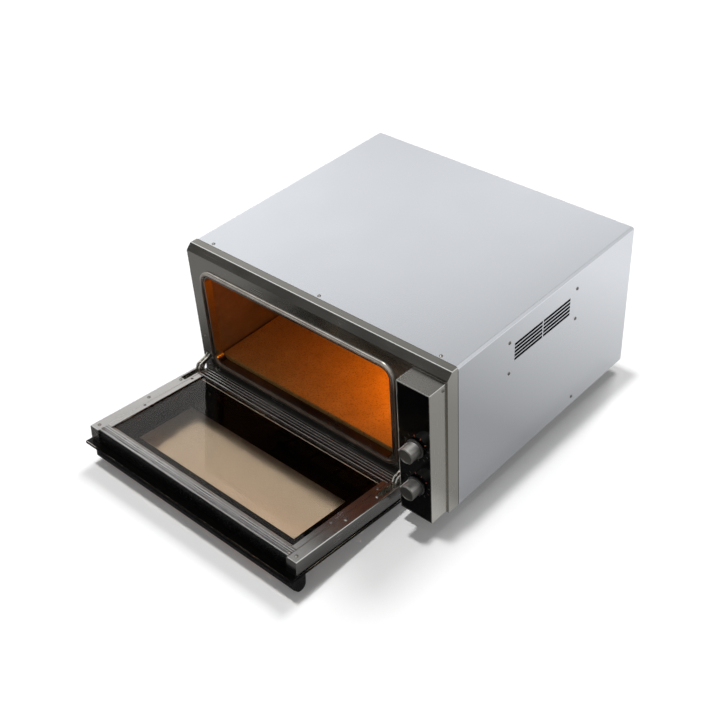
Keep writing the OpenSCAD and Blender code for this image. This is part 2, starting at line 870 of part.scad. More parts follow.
module left_hinge_arm() {
  translate([chamber_x, 0, 0]) mirror([1, 0, 0]) hinge_arm();
}

module right_hinge_arm() {
  translate([chamber_x, 0, 0]) hinge_arm();
}

// Sockets behind the facia with the cross pin that the arms hook over
module hinge_sockets() {
  cheek = arm_half + socket_t;
  y1 = facia_t + socket_t;
  color("silver") in_frame() translate([0, 0, z_body]) door_sides() difference() {
    union() {
      span(pin_x - socket_half, pin_x + socket_half, facia_t, y1,
           socket_screw_z[0] - socket_edge, socket_screw_z[1] + socket_edge);
      for (x = [pin_x - cheek - case_t, pin_x + cheek])
        span(x, x + case_t, facia_t, facia_t + 20, arm_z - 10, arm_z + 14);
      rod_x(pin_x - cheek - 0.5, pin_x + cheek + 0.5, 11, arm_z - 3, 2.6);
    }
    span(pin_x - slot_half, pin_x + slot_half, facia_t - cut, y1 + cut, arm_slot[0], arm_slot[1]);
    for (z = socket_screw_z)
      rod_y(pin_x, facia_t - cut, y1 + cut, z, shank_r + hole_play);
  }
}

module hinge_cases() {
  top = n_in - rail_t;
  low = n_rail + 0.5;
  color("silver") on_door() door_sides() difference() {
    union() {
      for (x = [pin_x - slot_half - case_t, pin_x + slot_half])
        door_span(x, x + case_t, -10, case_len, low, top);
      door_span(pin_x - slot_half - eps, pin_x + slot_half + eps, -10, case_len, low, low + case_t);
      door_span(pin_x - slot_half - eps, pin_x + slot_half + eps, case_len - case_t, case_len, low, top);
    }
    rod_x(pin_x - rail_w, pin_x + rail_w, 0, 0, pin_r + hole_play / 2);
  }
}

module pivot_pins() {
  color("gray") on_door() door_sides()
    rod_x(pin_x - rail_w / 2, pin_x + rail_w / 2, 0, 0, pin_r);
}

module hinge_springs() {
  color("gray") on_door() door_sides()
    translate([pin_x, -case_len + case_t, 3]) rotate([-90, 0, 0])
      cylinder(h = case_len - case_t - slot_end - spring_r * 2, r = spring_r);
}

// Door

module side_rail() {
  x0 = frame_half - rail_w;
  x1 = frame_half;
  difference() {
    door_span(x0, x1, -door_tail, rail_top, n_rail, n_in);
    door_span(x0 + rail_t, x1 - rail_t, -door_tail - cut, rail_top - rail_t, n_rail - cut, n_in - rail_t);
    door_span(pin_x - slot_half, pin_x + slot_half, -door_tail - cut, slot_end, 0, n_in + cut);
    rod_x(x0 - cut, x1 + cut, 0, 0, pin_r + hole_play / 2);
    for (s = rail_screw_s)
      rod_z(pin_x, -s, n_in - rail_t - cut, n_in + cut, shank_r + hole_play);
  }
}

module left_rail() {
  color("silver") on_door() translate([chamber_x, 0, 0]) mirror([1, 0, 0]) side_rail();
}

module right_rail() {
  color("silver") on_door() translate([chamber_x, 0, 0]) side_rail();
}

// Hollow cross rail with ridges along its inner face
module cross_rail(s0, s1) {
  x0 = frame_l + rail_w;
  x1 = frame_r - rail_w;
  pitch = (s1 - s0) / 4;
  difference() {
    door_span(x0, x1, s0, s1, n_rail, n_in);
    door_span(x0 - cut, x1 + cut, s0 + 2, s1 - 2, n_rail + 2, n_in - 4);
    for (k = [1 : 3])
      door_span(x0 - cut, x1 + cut, s0 + k * pitch - 1, s0 + k * pitch + 1, n_in - 1.6, n_in + cut);
  }
}

module front_rail() {
  color("gray") on_door() difference() {
    union() {
      cross_rail(front_rail_s, front_rail_end);
      door_span(frame_l + rail_w, frame_r - rail_w, front_rail_s - ledge, front_rail_s + eps,
                n_ledge - ledge_t, n_ledge);
    }
    door_sides()
      rod_z(frame_half - rail_w - head_r, -front_rail_end + corner_screw, n_in - 5, n_in + cut,
            shank_r + hole_play);
    retainer_room();
  }
}

module rear_rail() {
  color("gray") on_door() difference() {
    union() {
      cross_rail(-door_tail, rear_rail_end);
      door_span(frame_l + rail_w, frame_r - rail_w, rear_rail_end - eps, rear_rail_end + ledge,
                n_ledge - ledge_t, n_ledge);
    }
    retainer_room();
  }
}

// Room at the ends of the ledges for the retainer bars
module retainer_room() {
  door_sides()
    door_span(frame_half - rail_w - bar_w - bar_play, frame_half - rail_w + cut,
              rear_rail_end, front_rail_s, n_ledge - ledge_t - cut, n_in);
}

module inner_glass() {
  half = frame_half - rail_w - bar_w - bar_play;
  color("saddlebrown", 0.5) on_door()
    door_span(chamber_x - half, chamber_x + half, rear_rail_end + bar_play, front_rail_s - bar_play,
              n_ledge, n_glass);
}

module outer_glass() {
  color("black", 0.8) on_door()
    door_span(chamber_x - pane_half, chamber_x + pane_half, -door_tail + 2, glass_top, n_out, n_rail);
}

// Angle strips along the side rails that hold the inner glass down
module glass_retainers() {
  x1 = frame_half - rail_w;
  s0 = rear_rail_end + bar_play;
  s1 = front_rail_s - bar_play;
  color("silver") on_door() door_sides() difference() {
    union() {
      door_span(x1 - bar_w, x1, s0, s1, n_ledge - ledge_t, n_in);
      door_span(x1 - bar_w - lip_w, x1, s0, s1, n_glass, n_in);
    }
    for (s = strip_screw_s) {
      rod_z(x1 - bar_w / 2, -s, n_in - head_h - 0.2, n_in + cut, head_r - 0.8);
      rod_z(x1 - bar_w / 2, -s, n_ledge - ledge_t - cut, n_in, shank_r + hole_play);
    }
  }
}

module door_screws() {
  x1 = frame_half - rail_w;
  color("gray") on_door() door_sides() {
    for (s = rail_screw_s)
      translate([pin_x, -s, n_in]) screw(screw_len);
    translate([x1 - head_r, -front_rail_end + corner_screw, n_in]) screw(5);
    for (s = strip_screw_s)
      translate([x1 - bar_w / 2, -s, n_in]) flush_screw(8);
  }
}

// Small screw sunk into its piece so that nothing stands proud
module flush_screw(len) {
  difference() {
    union() {
      translate([0, 0, -head_h - 0.2]) cylinder(h = head_h, r = head_r - 1);
      translate([0, 0, -len]) cylinder(h = len - head_h, r = shank_r);
    }
    translate([-1.8, -0.4, -1]) cube([3.6, 0.8, 2]);
    translate([-0.4, -1.8, -1]) cube([0.8, 3.6, 2]);
  }
}

// Handle across the free end of the outer glass

module grip(x0, x1, grow) {
  c = n_out - handle_reach;
  r = handle_r + grow;
  rod_x(x0, x1, -handle_s, c, r);
  along_x(x0, x1)
    polygon([
      [-handle_s, c + r], [-handle_s - handle_wing, c + r - 2],
      [-handle_s - handle_wing, c + 0.5], [-handle_s - r * 0.6, c - r * 0.8], [-handle_s, c - r / 2]
    ]);
}

module handle_bar() {
  half = pane_half - handle_inset - handle_end_t;
  color("black") on_door() grip(chamber_x - half, chamber_x + half, 0);
}

module handle_ends() {
  far = pane_half - handle_inset;
  c = n_out - handle_reach;
  color("black") on_door() door_sides() {
    grip(far - handle_end_t, far, cap_grow);
    door_span(far - handle_end_t, far, handle_s - handle_r - cap_grow, handle_s + handle_wing, c, n_out);
  }
}

// Screws of the body

module cover_screws() {
  color("gray") in_frame() {
    for (x = top_screw_x)
      translate([x, top_screw_y, z_top]) screw(screw_len);
    for (y = guard_y)
      for (z = guard_z)
        translate([side, y, z]) rotate([0, 90, 0]) screw(screw_len);
    both_sides()
      translate([side, low_screw[0], low_screw[1]]) rotate([0, 90, 0])
        screw(side - inner_side + pan_t);
  }
}

module rear_screws() {
  color("gray") in_frame() both_sides()
    for (z = rear_screw_z)
      translate([rear_screw_x, body_d, z]) rotate([-90, 0, 0]) screw(screw_len);
}

module foot_screws() {
  color("gray") in_frame() both_sides()
    for (y = foot_y)
      translate([foot_x, y, foot_bore]) rotate([180, 0, 0]) screw(foot_h + pan_t - foot_bore);
}

module facia_screws() {
  color("gray") in_frame() {
    door_sides()
      for (z = socket_screw_z)
        translate([pin_x, 0, z_body + z]) rotate([90, 0, 0]) screw(screw_len);
    translate([box_r, box_screw[0], box_screw[1]]) rotate([0, 90, 0]) screw(screw_len);
  }
}

outer_cover();
base_pan();
rear_panel();
front_facia();
throat_frame();
door_gasket();
chamber_floor();
chamber_roof();
chamber_left_wall();
chamber_right_wall();
chamber_rear_wall();
roof_wool();
floor_wool();
left_wool();
right_wool();
rear_wool();
baking_stone();
stone_supports();
lower_element();
upper_element();
element_clips();
lamp_holder();
lamp_bulb();
lamp_lens();
control_box();
control_panel();
upper_thermostat();
lower_thermostat();
terminal_block();
cable_gland();
vent_deflector();
feet();
left_hinge_arm();
right_hinge_arm();
hinge_sockets();
cover_screws();
rear_screws();
foot_screws();
facia_screws();
upper_knob();
upper_skirt();
upper_shaft();
lower_knob();
lower_skirt();
lower_shaft();
left_rail();
right_rail();
front_rail();
rear_rail();
inner_glass();
outer_glass();
glass_retainers();
handle_bar();
handle_ends();
door_screws();
hinge_cases();
pivot_pins();
hinge_springs();
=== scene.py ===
import json
import math

import bmesh
import bpy
from mathutils import Matrix, Quaternion, Vector


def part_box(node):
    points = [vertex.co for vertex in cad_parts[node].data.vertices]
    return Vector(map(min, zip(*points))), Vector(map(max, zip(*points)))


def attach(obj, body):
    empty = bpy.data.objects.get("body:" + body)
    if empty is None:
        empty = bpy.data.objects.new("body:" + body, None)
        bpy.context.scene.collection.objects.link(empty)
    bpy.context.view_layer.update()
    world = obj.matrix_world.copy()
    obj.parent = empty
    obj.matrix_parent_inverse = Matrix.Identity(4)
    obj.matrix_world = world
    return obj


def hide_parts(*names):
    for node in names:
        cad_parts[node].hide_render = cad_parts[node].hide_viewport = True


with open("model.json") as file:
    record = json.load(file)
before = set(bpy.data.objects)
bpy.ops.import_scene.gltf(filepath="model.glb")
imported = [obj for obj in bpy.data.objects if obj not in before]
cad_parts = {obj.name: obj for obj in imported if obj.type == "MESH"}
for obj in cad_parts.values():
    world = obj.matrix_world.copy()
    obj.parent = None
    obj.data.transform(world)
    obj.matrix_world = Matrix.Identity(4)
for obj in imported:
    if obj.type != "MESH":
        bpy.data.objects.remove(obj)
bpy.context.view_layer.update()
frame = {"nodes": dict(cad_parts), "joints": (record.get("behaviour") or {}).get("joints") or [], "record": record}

# Sizes and places, in metres, taken from the frame where it holds them
MM = 0.001
NODES = frame["nodes"]
JOINTS = {joint["name"]: joint for joint in frame["joints"]}

# Floor: how far it lies below the feet, and half its width
FLOOR_DROP = 0.2 * MM
FLOOR_HALF = 14.0

# The open door stands on its stop a few degrees above level, and its own axes follow it:
# x from the middle of the door, -y outward from the hinge line, z towards the chamber
DOOR_TILT = math.radians(5.5)
DOOR = Matrix.Translation(JOINTS["door_hinge"]["pos_m"]) @ Matrix.Rotation(-DOOR_TILT, 4, "X")

# Viewing window in the black print of the outer pane: half width, and distances from the hinge line
WINDOW_HALF = 228 * MM
WINDOW_NEAR = 84 * MM
WINDOW_FAR = 229 * MM
PRINT_SKIN = 0.1 * MM
PRINT_THICK = 0.3 * MM

# Bends of the sheet-metal pieces: shortest length, least turn, how far they face upwards,
# steps of their rounding, and the turns up to which faces are flat and blend
BEND_LENGTH = 12 * MM
BEND_ANGLE = math.radians(30)
BEND_UPWARD = 0.6
BEND_STEPS = 3
FLAT_ANGLE = math.radians(0.5)
SMOOTH_ANGLE = math.radians(10)

# Rounding of sharp edges: how near points are joined, its steps, and the least turn of an edge
WELD_GAP = 0.01 * MM
EDGE_STEPS = 2
EDGE_ANGLE = math.radians(35)

# Camera of the photograph
CAMERA_PLACE = Vector((1.3779, -1.41355, 1.7143))
CAMERA_AZIMUTH = math.radians(44.42)
CAMERA_ELEVATION = math.radians(38.47)
CAMERA_ROLL = math.radians(-3.908)
CAMERA_LENS = 59.47
CAMERA_SENSOR = 36.0

scene = bpy.context.scene
scene.view_settings.view_transform = "Standard"


# Helpers for node trees and colours

# Values between which a noise pattern mostly lies
NOISE_ENDS = (0.3, 0.7)


def put(tree, kind, inputs=(), **settings):
    """Add a node with its settings, and set or link each of its inputs."""
    node = tree.nodes.new(kind)
    for key, value in settings.items():
        setattr(node, key, value)
    for key, value in dict(inputs).items():
        if isinstance(value, bpy.types.NodeSocket):
            tree.links.new(value, node.inputs[key])
        else:
            node.inputs[key].default_value = value
    return node


def rgb(code):
    """Linear colour of an sRGB hex value."""
    channels = [int(code[k:k + 2], 16) / 255 for k in (0, 2, 4)]
    linear = [c / 12.92 if c <= 0.04045 else ((c + 0.055) / 1.055) ** 2.4 for c in channels]
    return (*linear, 1.0)


def toned(colour, factor):
    """The same colour, darker or lighter by a factor."""
    return [min(1.0, c * factor) for c in colour[:3]] + [1.0]


def new_material(name):
    """Empty material, with its node tree and its output node."""
    material = bpy.data.materials.new(name)
    material.use_nodes = True
    tree = material.node_tree
    tree.nodes.clear()
    output = put(tree, "ShaderNodeOutputMaterial")
    return material, tree, output


def grained(tree, size, detail=3.0, rough=0.55):
    """Cloudy or streaky pattern whose features have the given size in metres along X, Y and Z."""
    coords = put(tree, "ShaderNodeTexCoord")
    mapping = put(tree, "ShaderNodeMapping",
                  {"Vector": coords.outputs["Object"], "Scale": [1 / s for s in size]})
    noise = put(tree, "ShaderNodeTexNoise", {
        "Vector": mapping.outputs[0], "Scale": 1.0, "Detail": detail, "Roughness": rough})
    return noise.outputs[0]


def celled(tree, size):
    """Outputs of a pattern of close-set cells of the given size in metres."""
    coords = put(tree, "ShaderNodeTexCoord")
    mapping = put(tree, "ShaderNodeMapping",
                  {"Vector": coords.outputs["Object"], "Scale": [1 / size] * 3})
    return put(tree, "ShaderNodeTexVoronoi", {"Vector": mapping.outputs[0], "Scale": 1.0}).outputs


def two_tone(tree, value, first, second, ends=NOISE_ENDS):
    """Colour that goes from the first to the second while a value rises between two ends."""
    share = put(tree, "ShaderNodeMapRange", {"Value": value, "From Min": ends[0], "From Max": ends[1]})
    mix = put(tree, "ShaderNodeMix", {0: share.outputs[0], 6: first, 7: second}, data_type="RGBA")
    return mix.outputs[2]


def coat(tree, output, tint, gloss=None, ends=NOISE_ENDS, relief=None, **others):
    """Finish of a surface: its tint, and what else it has.
    gloss: a pattern, and the least and greatest roughness along it, between its ends;
    relief: a pattern, its depth in metres and its strength;
    others: the shader's other inputs, with underscores for spaces."""
    inputs = {key.replace("_", " "): value for key, value in others.items()}
    inputs["Base Color"] = tint
    if gloss is not None:
        pattern, least, greatest = gloss
        inputs["Roughness"] = put(tree, "ShaderNodeMapRange", {
            "Value": pattern, "From Min": ends[0], "From Max": ends[1],
            "To Min": least, "To Max": greatest}).outputs[0]
    if relief is not None:
        pattern, depth, strength = relief
        inputs["Normal"] = put(tree, "ShaderNodeBump", {
            "Height": pattern, "Distance": depth, "Strength": strength}).outputs[0]
    shader = put(tree, "ShaderNodeBsdfPrincipled", inputs)
    tree.links.new(shader.outputs[0], output.inputs["Surface"])


# Helpers for meshes


def finish_piece(name, mesh, material, body, replaced=(), bevel=0.0):
    """Put a finished mesh into the scene as a piece that rides on a body."""
    obj = bpy.data.objects.new(name, mesh)
    scene.collection.objects.link(obj)
    if material is not None:
        mesh.materials.clear()
        mesh.materials.append(material)
    if bevel:
        soften(obj, bevel)
    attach(obj, body)
    if replaced:
        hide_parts(*replaced)


def soften(obj, width):
    """Round the sharp edges a little, so that they catch the light."""
    weld = obj.modifiers.new("join", "WELD")
    weld.merge_threshold = WELD_GAP
    bevel = obj.modifiers.new("edge", "BEVEL")
    bevel.width = width
    bevel.segments = EDGE_STEPS
    bevel.limit_method = "ANGLE"
    bevel.angle_limit = EDGE_ANGLE
    bevel.harden_normals = True


def face_depth(face, edge):
    """How far a face runs inwards from the middle of one of its edges."""
    loop = next(loop for loop in face.loops if loop.edge == edge)
    start, end = loop.vert.co, loop.link_loop_next.vert.co
    middle = (start + end) / 2
    along = (end - start).normalized()
    inward = face.normal.cross(along)
    depths = []
    for other in face.edges:
        first, last = (vert.co - middle for vert in other.verts)
        a, b = first.dot(along), last.dot(along)
        if other != edge and a * b < 0:
            depths.append(first.dot(inward) + (last - first).dot(inward) * a / (a - b))
    return min((depth for depth in depths if depth > 0), default=math.inf)


def is_bend(edge, radius):
    """A long upper corner between two faces that are deep enough to be bent sheet."""
    if len(edge.link_faces) != 2 or not edge.is_convex:
        return False
    if edge.calc_length() < BEND_LENGTH or edge.calc_face_angle() < BEND_ANGLE:
        return False
    facing = sum((face.normal for face in edge.link_faces), Vector()).normalized()
    if facing.z < BEND_UPWARD:
        return False
    return min(face_depth(face, edge) for face in edge.link_faces) > radius


def bent_sheet(node, radius, material, body):
    """Copy of a sheet-metal node with its long bends rounded, and paler steel on them as a painted highlight."""
    bm = bmesh.new()
    bm.from_mesh(NODES[node].data)
    bmesh.ops.remove_doubles(bm, verts=bm.verts, dist=WELD_GAP)
    bmesh.ops.dissolve_limit(bm, angle_limit=FLAT_ANGLE, verts=bm.verts, edges=bm.edges)
    bends = [edge for edge in bm.edges if is_bend(edge, radius)]
    bmesh.ops.bevel(bm, geom=bends, offset=radius, segments=BEND_STEPS, profile=0.5,
                    affect="EDGES", material=1)
    for face in bm.faces:
        face.smooth = True
    mesh = bpy.data.meshes.new("bent_" + node)
    bm.to_mesh(mesh)
    bm.free()
    mesh.set_sharp_from_angle(angle=SMOOTH_ANGLE)
    mesh.materials.append(material)
    mesh.materials.append(BEND_HIGHLIGHT)
    finish_piece("bent_" + node, mesh, None, body, (node,))


def add_ring(bm, outer, inner, low, high, place):
    """Flat frame between two rectangles (x0, y0, x1, y1), from low to high."""
    rings = []
    for x0, y0, x1, y1 in (outer, inner):
        for z in (low, high):
            corners = ((x0, y0), (x1, y0), (x1, y1), (x0, y1))
            rings.append([bm.verts.new(place @ Vector((x, y, z))) for x, y in corners])
    outer_low, outer_high, inner_low, inner_high = rings
    for k in range(4):
        m = (k + 1) % 4
        bm.faces.new((outer_high[k], outer_high[m], inner_high[m], inner_high[k]))
        bm.faces.new((outer_low[m], outer_low[k], inner_low[k], inner_low[m]))
        bm.faces.new((outer_low[k], outer_low[m], outer_high[m], outer_high[k]))
        bm.faces.new((inner_low[m], inner_low[k], inner_high[k], inner_high[m]))


def add_slab(bm, low, high, place):
    """Box between two corners."""
    corners = [Vector((x, y, z)) for x in (low[0], high[0]) for y in (low[1], high[1])
               for z in (low[2], high[2])]
    v = [bm.verts.new(place @ c) for c in corners]
    for face in ((0, 1, 3, 2), (4, 6, 7, 5), (0, 4, 5, 1), (2, 3, 7, 6), (0, 2, 6, 4), (1, 5, 7, 3)):
        bm.faces.new([v[k] for k in face])


def mesh_of(bm, name):
    """Mesh of finished faces that look outwards."""
    bmesh.ops.recalc_face_normals(bm, faces=bm.faces)
    mesh = bpy.data.meshes.new(name)
    bm.to_mesh(mesh)
    bm.free()
    return mesh


def door_extent(node):
    """Lowest and highest corner of a node along the door's own axes."""
    back = DOOR.inverted()
    points = [back @ v.co for v in NODES[node].data.vertices]
    low = Vector([min(p[k] for p in points) for k in range(3)])
    high = Vector([max(p[k] for p in points) for k in range(3)])
    return low, high


# Materials

# How far a brushed face looks sideways: up to the first value it takes the painted shade, past the last not
PAINTED_SHADE_SIDEWAYS = (0.75, 0.95)
# How far a knob's cap looks upwards, from its dark painted shade to its bright painted highlight
PAINTED_LIGHT_UPWARD = (0.55, 0.95)
# Width of the tool rings on the caps
RING_WIDTH = 0.9 * MM
# Heights between which the door seal turns from its painted shade below to its own silver above
SEAL_PAINTED_SHADE_HEIGHTS = (0.27, 0.325)
# Values between which the zinc crystals and the seal's loops of wire lie
CRYSTAL_ENDS = (0.2, 0.8)
LOOP_ENDS = (0.1, 0.7)
# Values at which a pattern leaves a dark speck in the stone, or a dust speck on the panel
PORE_ENDS = (0.35, 0.5)
DUST_ENDS = (0.6, 0.8)
# How far the roughness of moulded and plated surfaces wanders to both sides
GLOSS_WANDER = 0.06
# Wear of moulded surfaces: gain and lift of their colour
WEAR_GAIN = 1.35
WEAR_LIFT = 0.004
# Yellowish bloom on zinc, as shares of red, green and blue
YELLOWED = (1.0, 0.97, 0.9)
# Thin places in screen-printed ink, as a share of its colour
THIN_INK = 0.7
# Greatest roughness of the film on the panes, and glow of the lamp's glass
PANE_FILM = 0.006
LAMP_GLOW = 0.6


def brushed_metal(name, code, roughness, grain, streak=0.05, depth=0.01, smudge=0.05, vary=0.03,
                  painted_shade_share=1.0):
    """Sheet metal with a straight brushed grain: fine streaks in colour and gloss, faint wiping marks.
    Its grain has a depth in millimetres. On faces that don't look sideways the colour is painted shade:
    it keeps only the given share of the base, darker than on the sides, as if less light fell there."""
    material, tree, output = new_material(name)
    base = rgb(code)
    lines = grained(tree, grain, detail=4.0, rough=0.6)
    wiping = grained(tree, (90 * MM, 110 * MM, 90 * MM), detail=2.0)
    tint = two_tone(tree, lines, toned(base, 1 - streak), toned(base, 1 + streak))
    # Painted shade: faces that don't look sideways keep only a share of the colour
    if painted_shade_share < 1.0:
        normal = put(tree, "ShaderNodeNewGeometry").outputs["True Normal"]
        size = put(tree, "ShaderNodeVectorMath", {0: normal}, operation="ABSOLUTE")
        facing = put(tree, "ShaderNodeSeparateXYZ", {"Vector": size.outputs[0]})
        painted_shade_tint = toned(base, painted_shade_share)
        painted_shade_streaks = two_tone(tree, lines, painted_shade_tint, toned(painted_shade_tint, 1 + streak))
        tint = two_tone(tree, facing.outputs["X"], painted_shade_streaks, tint, PAINTED_SHADE_SIDEWAYS)
    start, end = NOISE_ENDS
    streaks = put(tree, "ShaderNodeMapRange", {
        "Value": lines, "From Min": start, "From Max": end,
        "To Min": roughness - vary, "To Max": roughness + vary})
    smudges = put(tree, "ShaderNodeMapRange", {
        "Value": wiping, "From Min": start, "From Max": end, "To Min": -smudge, "To Max": smudge})
    gloss = put(tree, "ShaderNodeMath", {0: streaks.outputs[0], 1: smudges.outputs[0]})
    coat(tree, output, tint, relief=(lines, depth * MM, 0.35), Metallic=1.0, Roughness=gloss.outputs[0])
    return material


def satin_cover_steel():
    # Stainless sheet, fine satin finish along the depth of the oven: pale, soft reflections
    return brushed_metal("satin_stainless_sheet", "e2e5ea", 0.24, (1.8 * MM, 140 * MM, 1.8 * MM),
                         streak=0.012, depth=0.001, smudge=0.008, vary=0.008)


def facia_steel():
    # Stainless sheet brushed across the front: darker and glossier, so that it mirrors the door;
    # painted shade darkens its front and top more than its side flanges
    return brushed_metal("brushed_stainless_facia", "c2bfb7", 0.22, (160 * MM, 1.6 * MM, 1.6 * MM),
                         streak=0.04, depth=0.004, painted_shade_share=0.48)


def control_steel():
    # Stainless sheet brushed upright: soft grey sides, with painted shade darkening its top and front
    return brushed_metal("brushed_stainless_box", "cac7bf", 0.25, (1.6 * MM, 1.6 * MM, 150 * MM),
                         streak=0.02, depth=0.003, painted_shade_share=0.43)


def rail_steel():
    # Stainless channel brushed along its length: mid grey with fine lines
    return brushed_metal("brushed_stainless_channel", "b9b7b4", 0.22, (1.4 * MM, 120 * MM, 1.4 * MM),
                         streak=0.03, depth=0.005)


def bend_painted_highlight():
    # Outside of a bend in stainless sheet, given paler steel as a painted highlight: a thin light line
    return brushed_metal("burnished_stainless_bend", "d8d8d5", 0.2, (4 * MM, 4 * MM, 4 * MM),
                         streak=0.02, depth=0.002, smudge=0.02)


def ridged_aluminium():
    # Mill-finish aluminium extrusion: grey, with drawing lines along it
    return brushed_metal("extruded_aluminium", "9c9a9a", 0.28, (150 * MM, 1.2 * MM, 1.2 * MM),
                         streak=0.06, depth=0.008)


def shaded_rail_aluminium():
    # The same extrusion next to the mouth, darkened as painted shade where it lies under the mouth: dark between
    # its bright edges
    return brushed_metal("smoke_stained_aluminium", "4a4543", 0.24, (150 * MM, 1.2 * MM, 1.2 * MM),
                         streak=0.12, depth=0.006)


def panel_steel():
    # Zinc-coated steel sheet at the rear and underneath: mottled by its crystals
    material, tree, output = new_material("zinc_coated_sheet")
    spangle = celled(tree, 9 * MM)["Color"]
    grey = put(tree, "ShaderNodeRGBToBW", {"Color": spangle}).outputs[0]
    tint = two_tone(tree, grey, rgb("a9acae"), rgb("c2c5c7"), CRYSTAL_ENDS)
    coat(tree, output, tint, gloss=(grey, 0.36, 0.5), ends=CRYSTAL_ENDS, Metallic=1.0)
    return material


def chamber_steel():
    # Aluminised steel sheet, rolled: dull silver with faint heat staining
    material, tree, output = new_material("aluminised_steel_sheet")
    stain = grained(tree, (70 * MM, 70 * MM, 50 * MM), detail=5.0, rough=0.6)
    grain = grained(tree, (2 * MM, 120 * MM, 2 * MM))
    tint = two_tone(tree, stain, rgb("7d6a52"), rgb("938066"))
    coat(tree, output, tint, gloss=(grain, 0.42, 0.55), relief=(grain, 0.02 * MM, 0.4), Metallic=0.75)
    return material


def braided_seal():
    # Rope seal in a knitted stainless jacket: a silver bead, darkened to brown below by painted shade;
    # its loops of wire are drawn coarser to show
    material, tree, output = new_material("knitted_stainless_seal")
    loops = celled(tree, 2.2 * MM)["Distance"]
    cloud = grained(tree, (35 * MM, 35 * MM, 35 * MM), detail=2.0)
    coords = put(tree, "ShaderNodeTexCoord")
    place = put(tree, "ShaderNodeSeparateXYZ", {"Vector": coords.outputs["Object"]})
    seal_base_tone = two_tone(tree, cloud, rgb("b4ada5"), rgb("ccc6be"))
    painted_shade_tone = two_tone(tree, cloud, rgb("55463b"), rgb("6b5c50"))
    # Painted shade: the seal is brown below the given heights and silver above
    tint = two_tone(tree, place.outputs["Z"], painted_shade_tone, seal_base_tone, SEAL_PAINTED_SHADE_HEIGHTS)
    coat(tree, output, tint, gloss=(loops, 0.22, 0.27), ends=LOOP_ENDS,
         relief=(loops, 0.05 * MM, 0.12), Metallic=0.9)
    return material


def mineral_wool():
    # Mineral fibre slab: straw coloured, matt and fluffy
    material, tree, output = new_material("mineral_fibre_slab")
    fibre = grained(tree, (1.5 * MM, 9 * MM, 1.5 * MM), detail=5.0, rough=0.7)
    tint = two_tone(tree, fibre, rgb("a8946a"), rgb("d6c79b"))
    coat(tree, output, tint, relief=(fibre, 0.8 * MM, 0.8), Roughness=0.95, Sheen_Weight=0.3)
    return material


def refractory_stone():
    # Pressed cordierite slab: sandy, open pores, grains of two sizes; its own tan is pushed to orange as painted
    # warm glow of the hot chamber
    material, tree, output = new_material("cordierite_baking_stone")
    grain = grained(tree, (3 * MM, 3 * MM, 3 * MM), detail=4.0, rough=0.65)
    cloud = grained(tree, (60 * MM, 60 * MM, 60 * MM), detail=4.0, rough=0.6)
    sand = two_tone(tree, cloud, rgb("a8793a"), rgb("ba8a48"))
    tint = two_tone(tree, grain, rgb("875f2c"), sand, PORE_ENDS)
    coat(tree, output, tint, gloss=(grain, 0.75, 0.95), relief=(grain, 0.25 * MM, 0.5))
    return material


def element_sheath():
    # Nickel alloy heater tube: oxidised dark grey-brown
    material, tree, output = new_material("oxidised_heater_tube")
    bloom = grained(tree, (8 * MM, 20 * MM, 8 * MM), detail=4.0)
    tint = two_tone(tree, bloom, rgb("332d2a"), rgb("5a5048"))
    coat(tree, output, tint, gloss=(bloom, 0.45, 0.65), Metallic=0.8)
    return material


def lamp_glass():
    # Pressed heat-proof glass, lit from behind by the chamber lamp: rippled, with a warm glow
    material, tree, output = new_material("pressed_lamp_glass")
    ripple = grained(tree, (5 * MM, 5 * MM, 5 * MM), detail=2.0)
    tint = two_tone(tree, ripple, rgb("ffc27a"), rgb("ffe3bd"))
    coat(tree, output, tint, relief=(ripple, 0.4 * MM, 0.5), Roughness=0.2, IOR=1.47,
         Emission_Color=rgb("ffab4f"), Emission_Strength=LAMP_GLOW)
    return material


def black_acrylic():
    # Cast acrylic sheet printed black behind: deep gloss with fine dust
    material, tree, output = new_material("black_acrylic_panel")
    dust = grained(tree, (1.8 * MM, 1.8 * MM, 1.8 * MM))
    cloud = grained(tree, (50 * MM, 50 * MM, 50 * MM), detail=2.0)
    tint = two_tone(tree, dust, rgb("070707"), rgb("121212"), DUST_ENDS)
    coat(tree, output, tint, gloss=(cloud, 0.06, 0.14), IOR=1.49, Specular_IOR_Level=0.06)
    return material


def moulded_plastic(name, code, roughness, texture):
    """Moulded plastic or rubber, or a coat of paint, with a fine skin of the given texture size."""
    material, tree, output = new_material(name)
    skin = grained(tree, (texture, texture, texture))
    cloud = grained(tree, (30 * MM, 30 * MM, 30 * MM), detail=2.0)
    base = rgb(code)
    worn = [min(1.0, c * WEAR_GAIN + WEAR_LIFT) for c in base[:3]] + [1.0]
    tint = two_tone(tree, cloud, base, worn)
    coat(tree, output, tint, gloss=(skin, roughness - GLOSS_WANDER, roughness + GLOSS_WANDER),
         relief=(skin, 0.04 * MM, 0.35), IOR=1.5)
    return material


def thermostat_ceramic():
    # Steatite body, pressed: cream and matt
    return moulded_plastic("steatite_body", "d8d0bd", 0.6, 1.5 * MM)


def gland_nylon():
    # Moulded black nylon: dull with a fine skin
    return moulded_plastic("black_nylon", "161616", 0.45, 1.2 * MM)


def foot_rubber():
    # Moulded black rubber: quite matt
    return moulded_plastic("black_moulded_rubber", "191919", 0.75, 1.2 * MM)


def skirt_plastic():
    # Gloss black ABS disc behind the knob: dark, with a soft shine
    return moulded_plastic("black_abs_disc", "262523", 0.3, 2 * MM)


def handle_black():
    # Black powder-coated aluminium section: deep black with a thin gloss
    return moulded_plastic("black_coated_handle", "090909", 0.27, 1.6 * MM)


def trim_black():
    # Black enamelled strip along the front of the door frame: the deepest black, with a clear shine
    return moulded_plastic("black_enamel_strip", "040404", 0.24, 1.8 * MM)


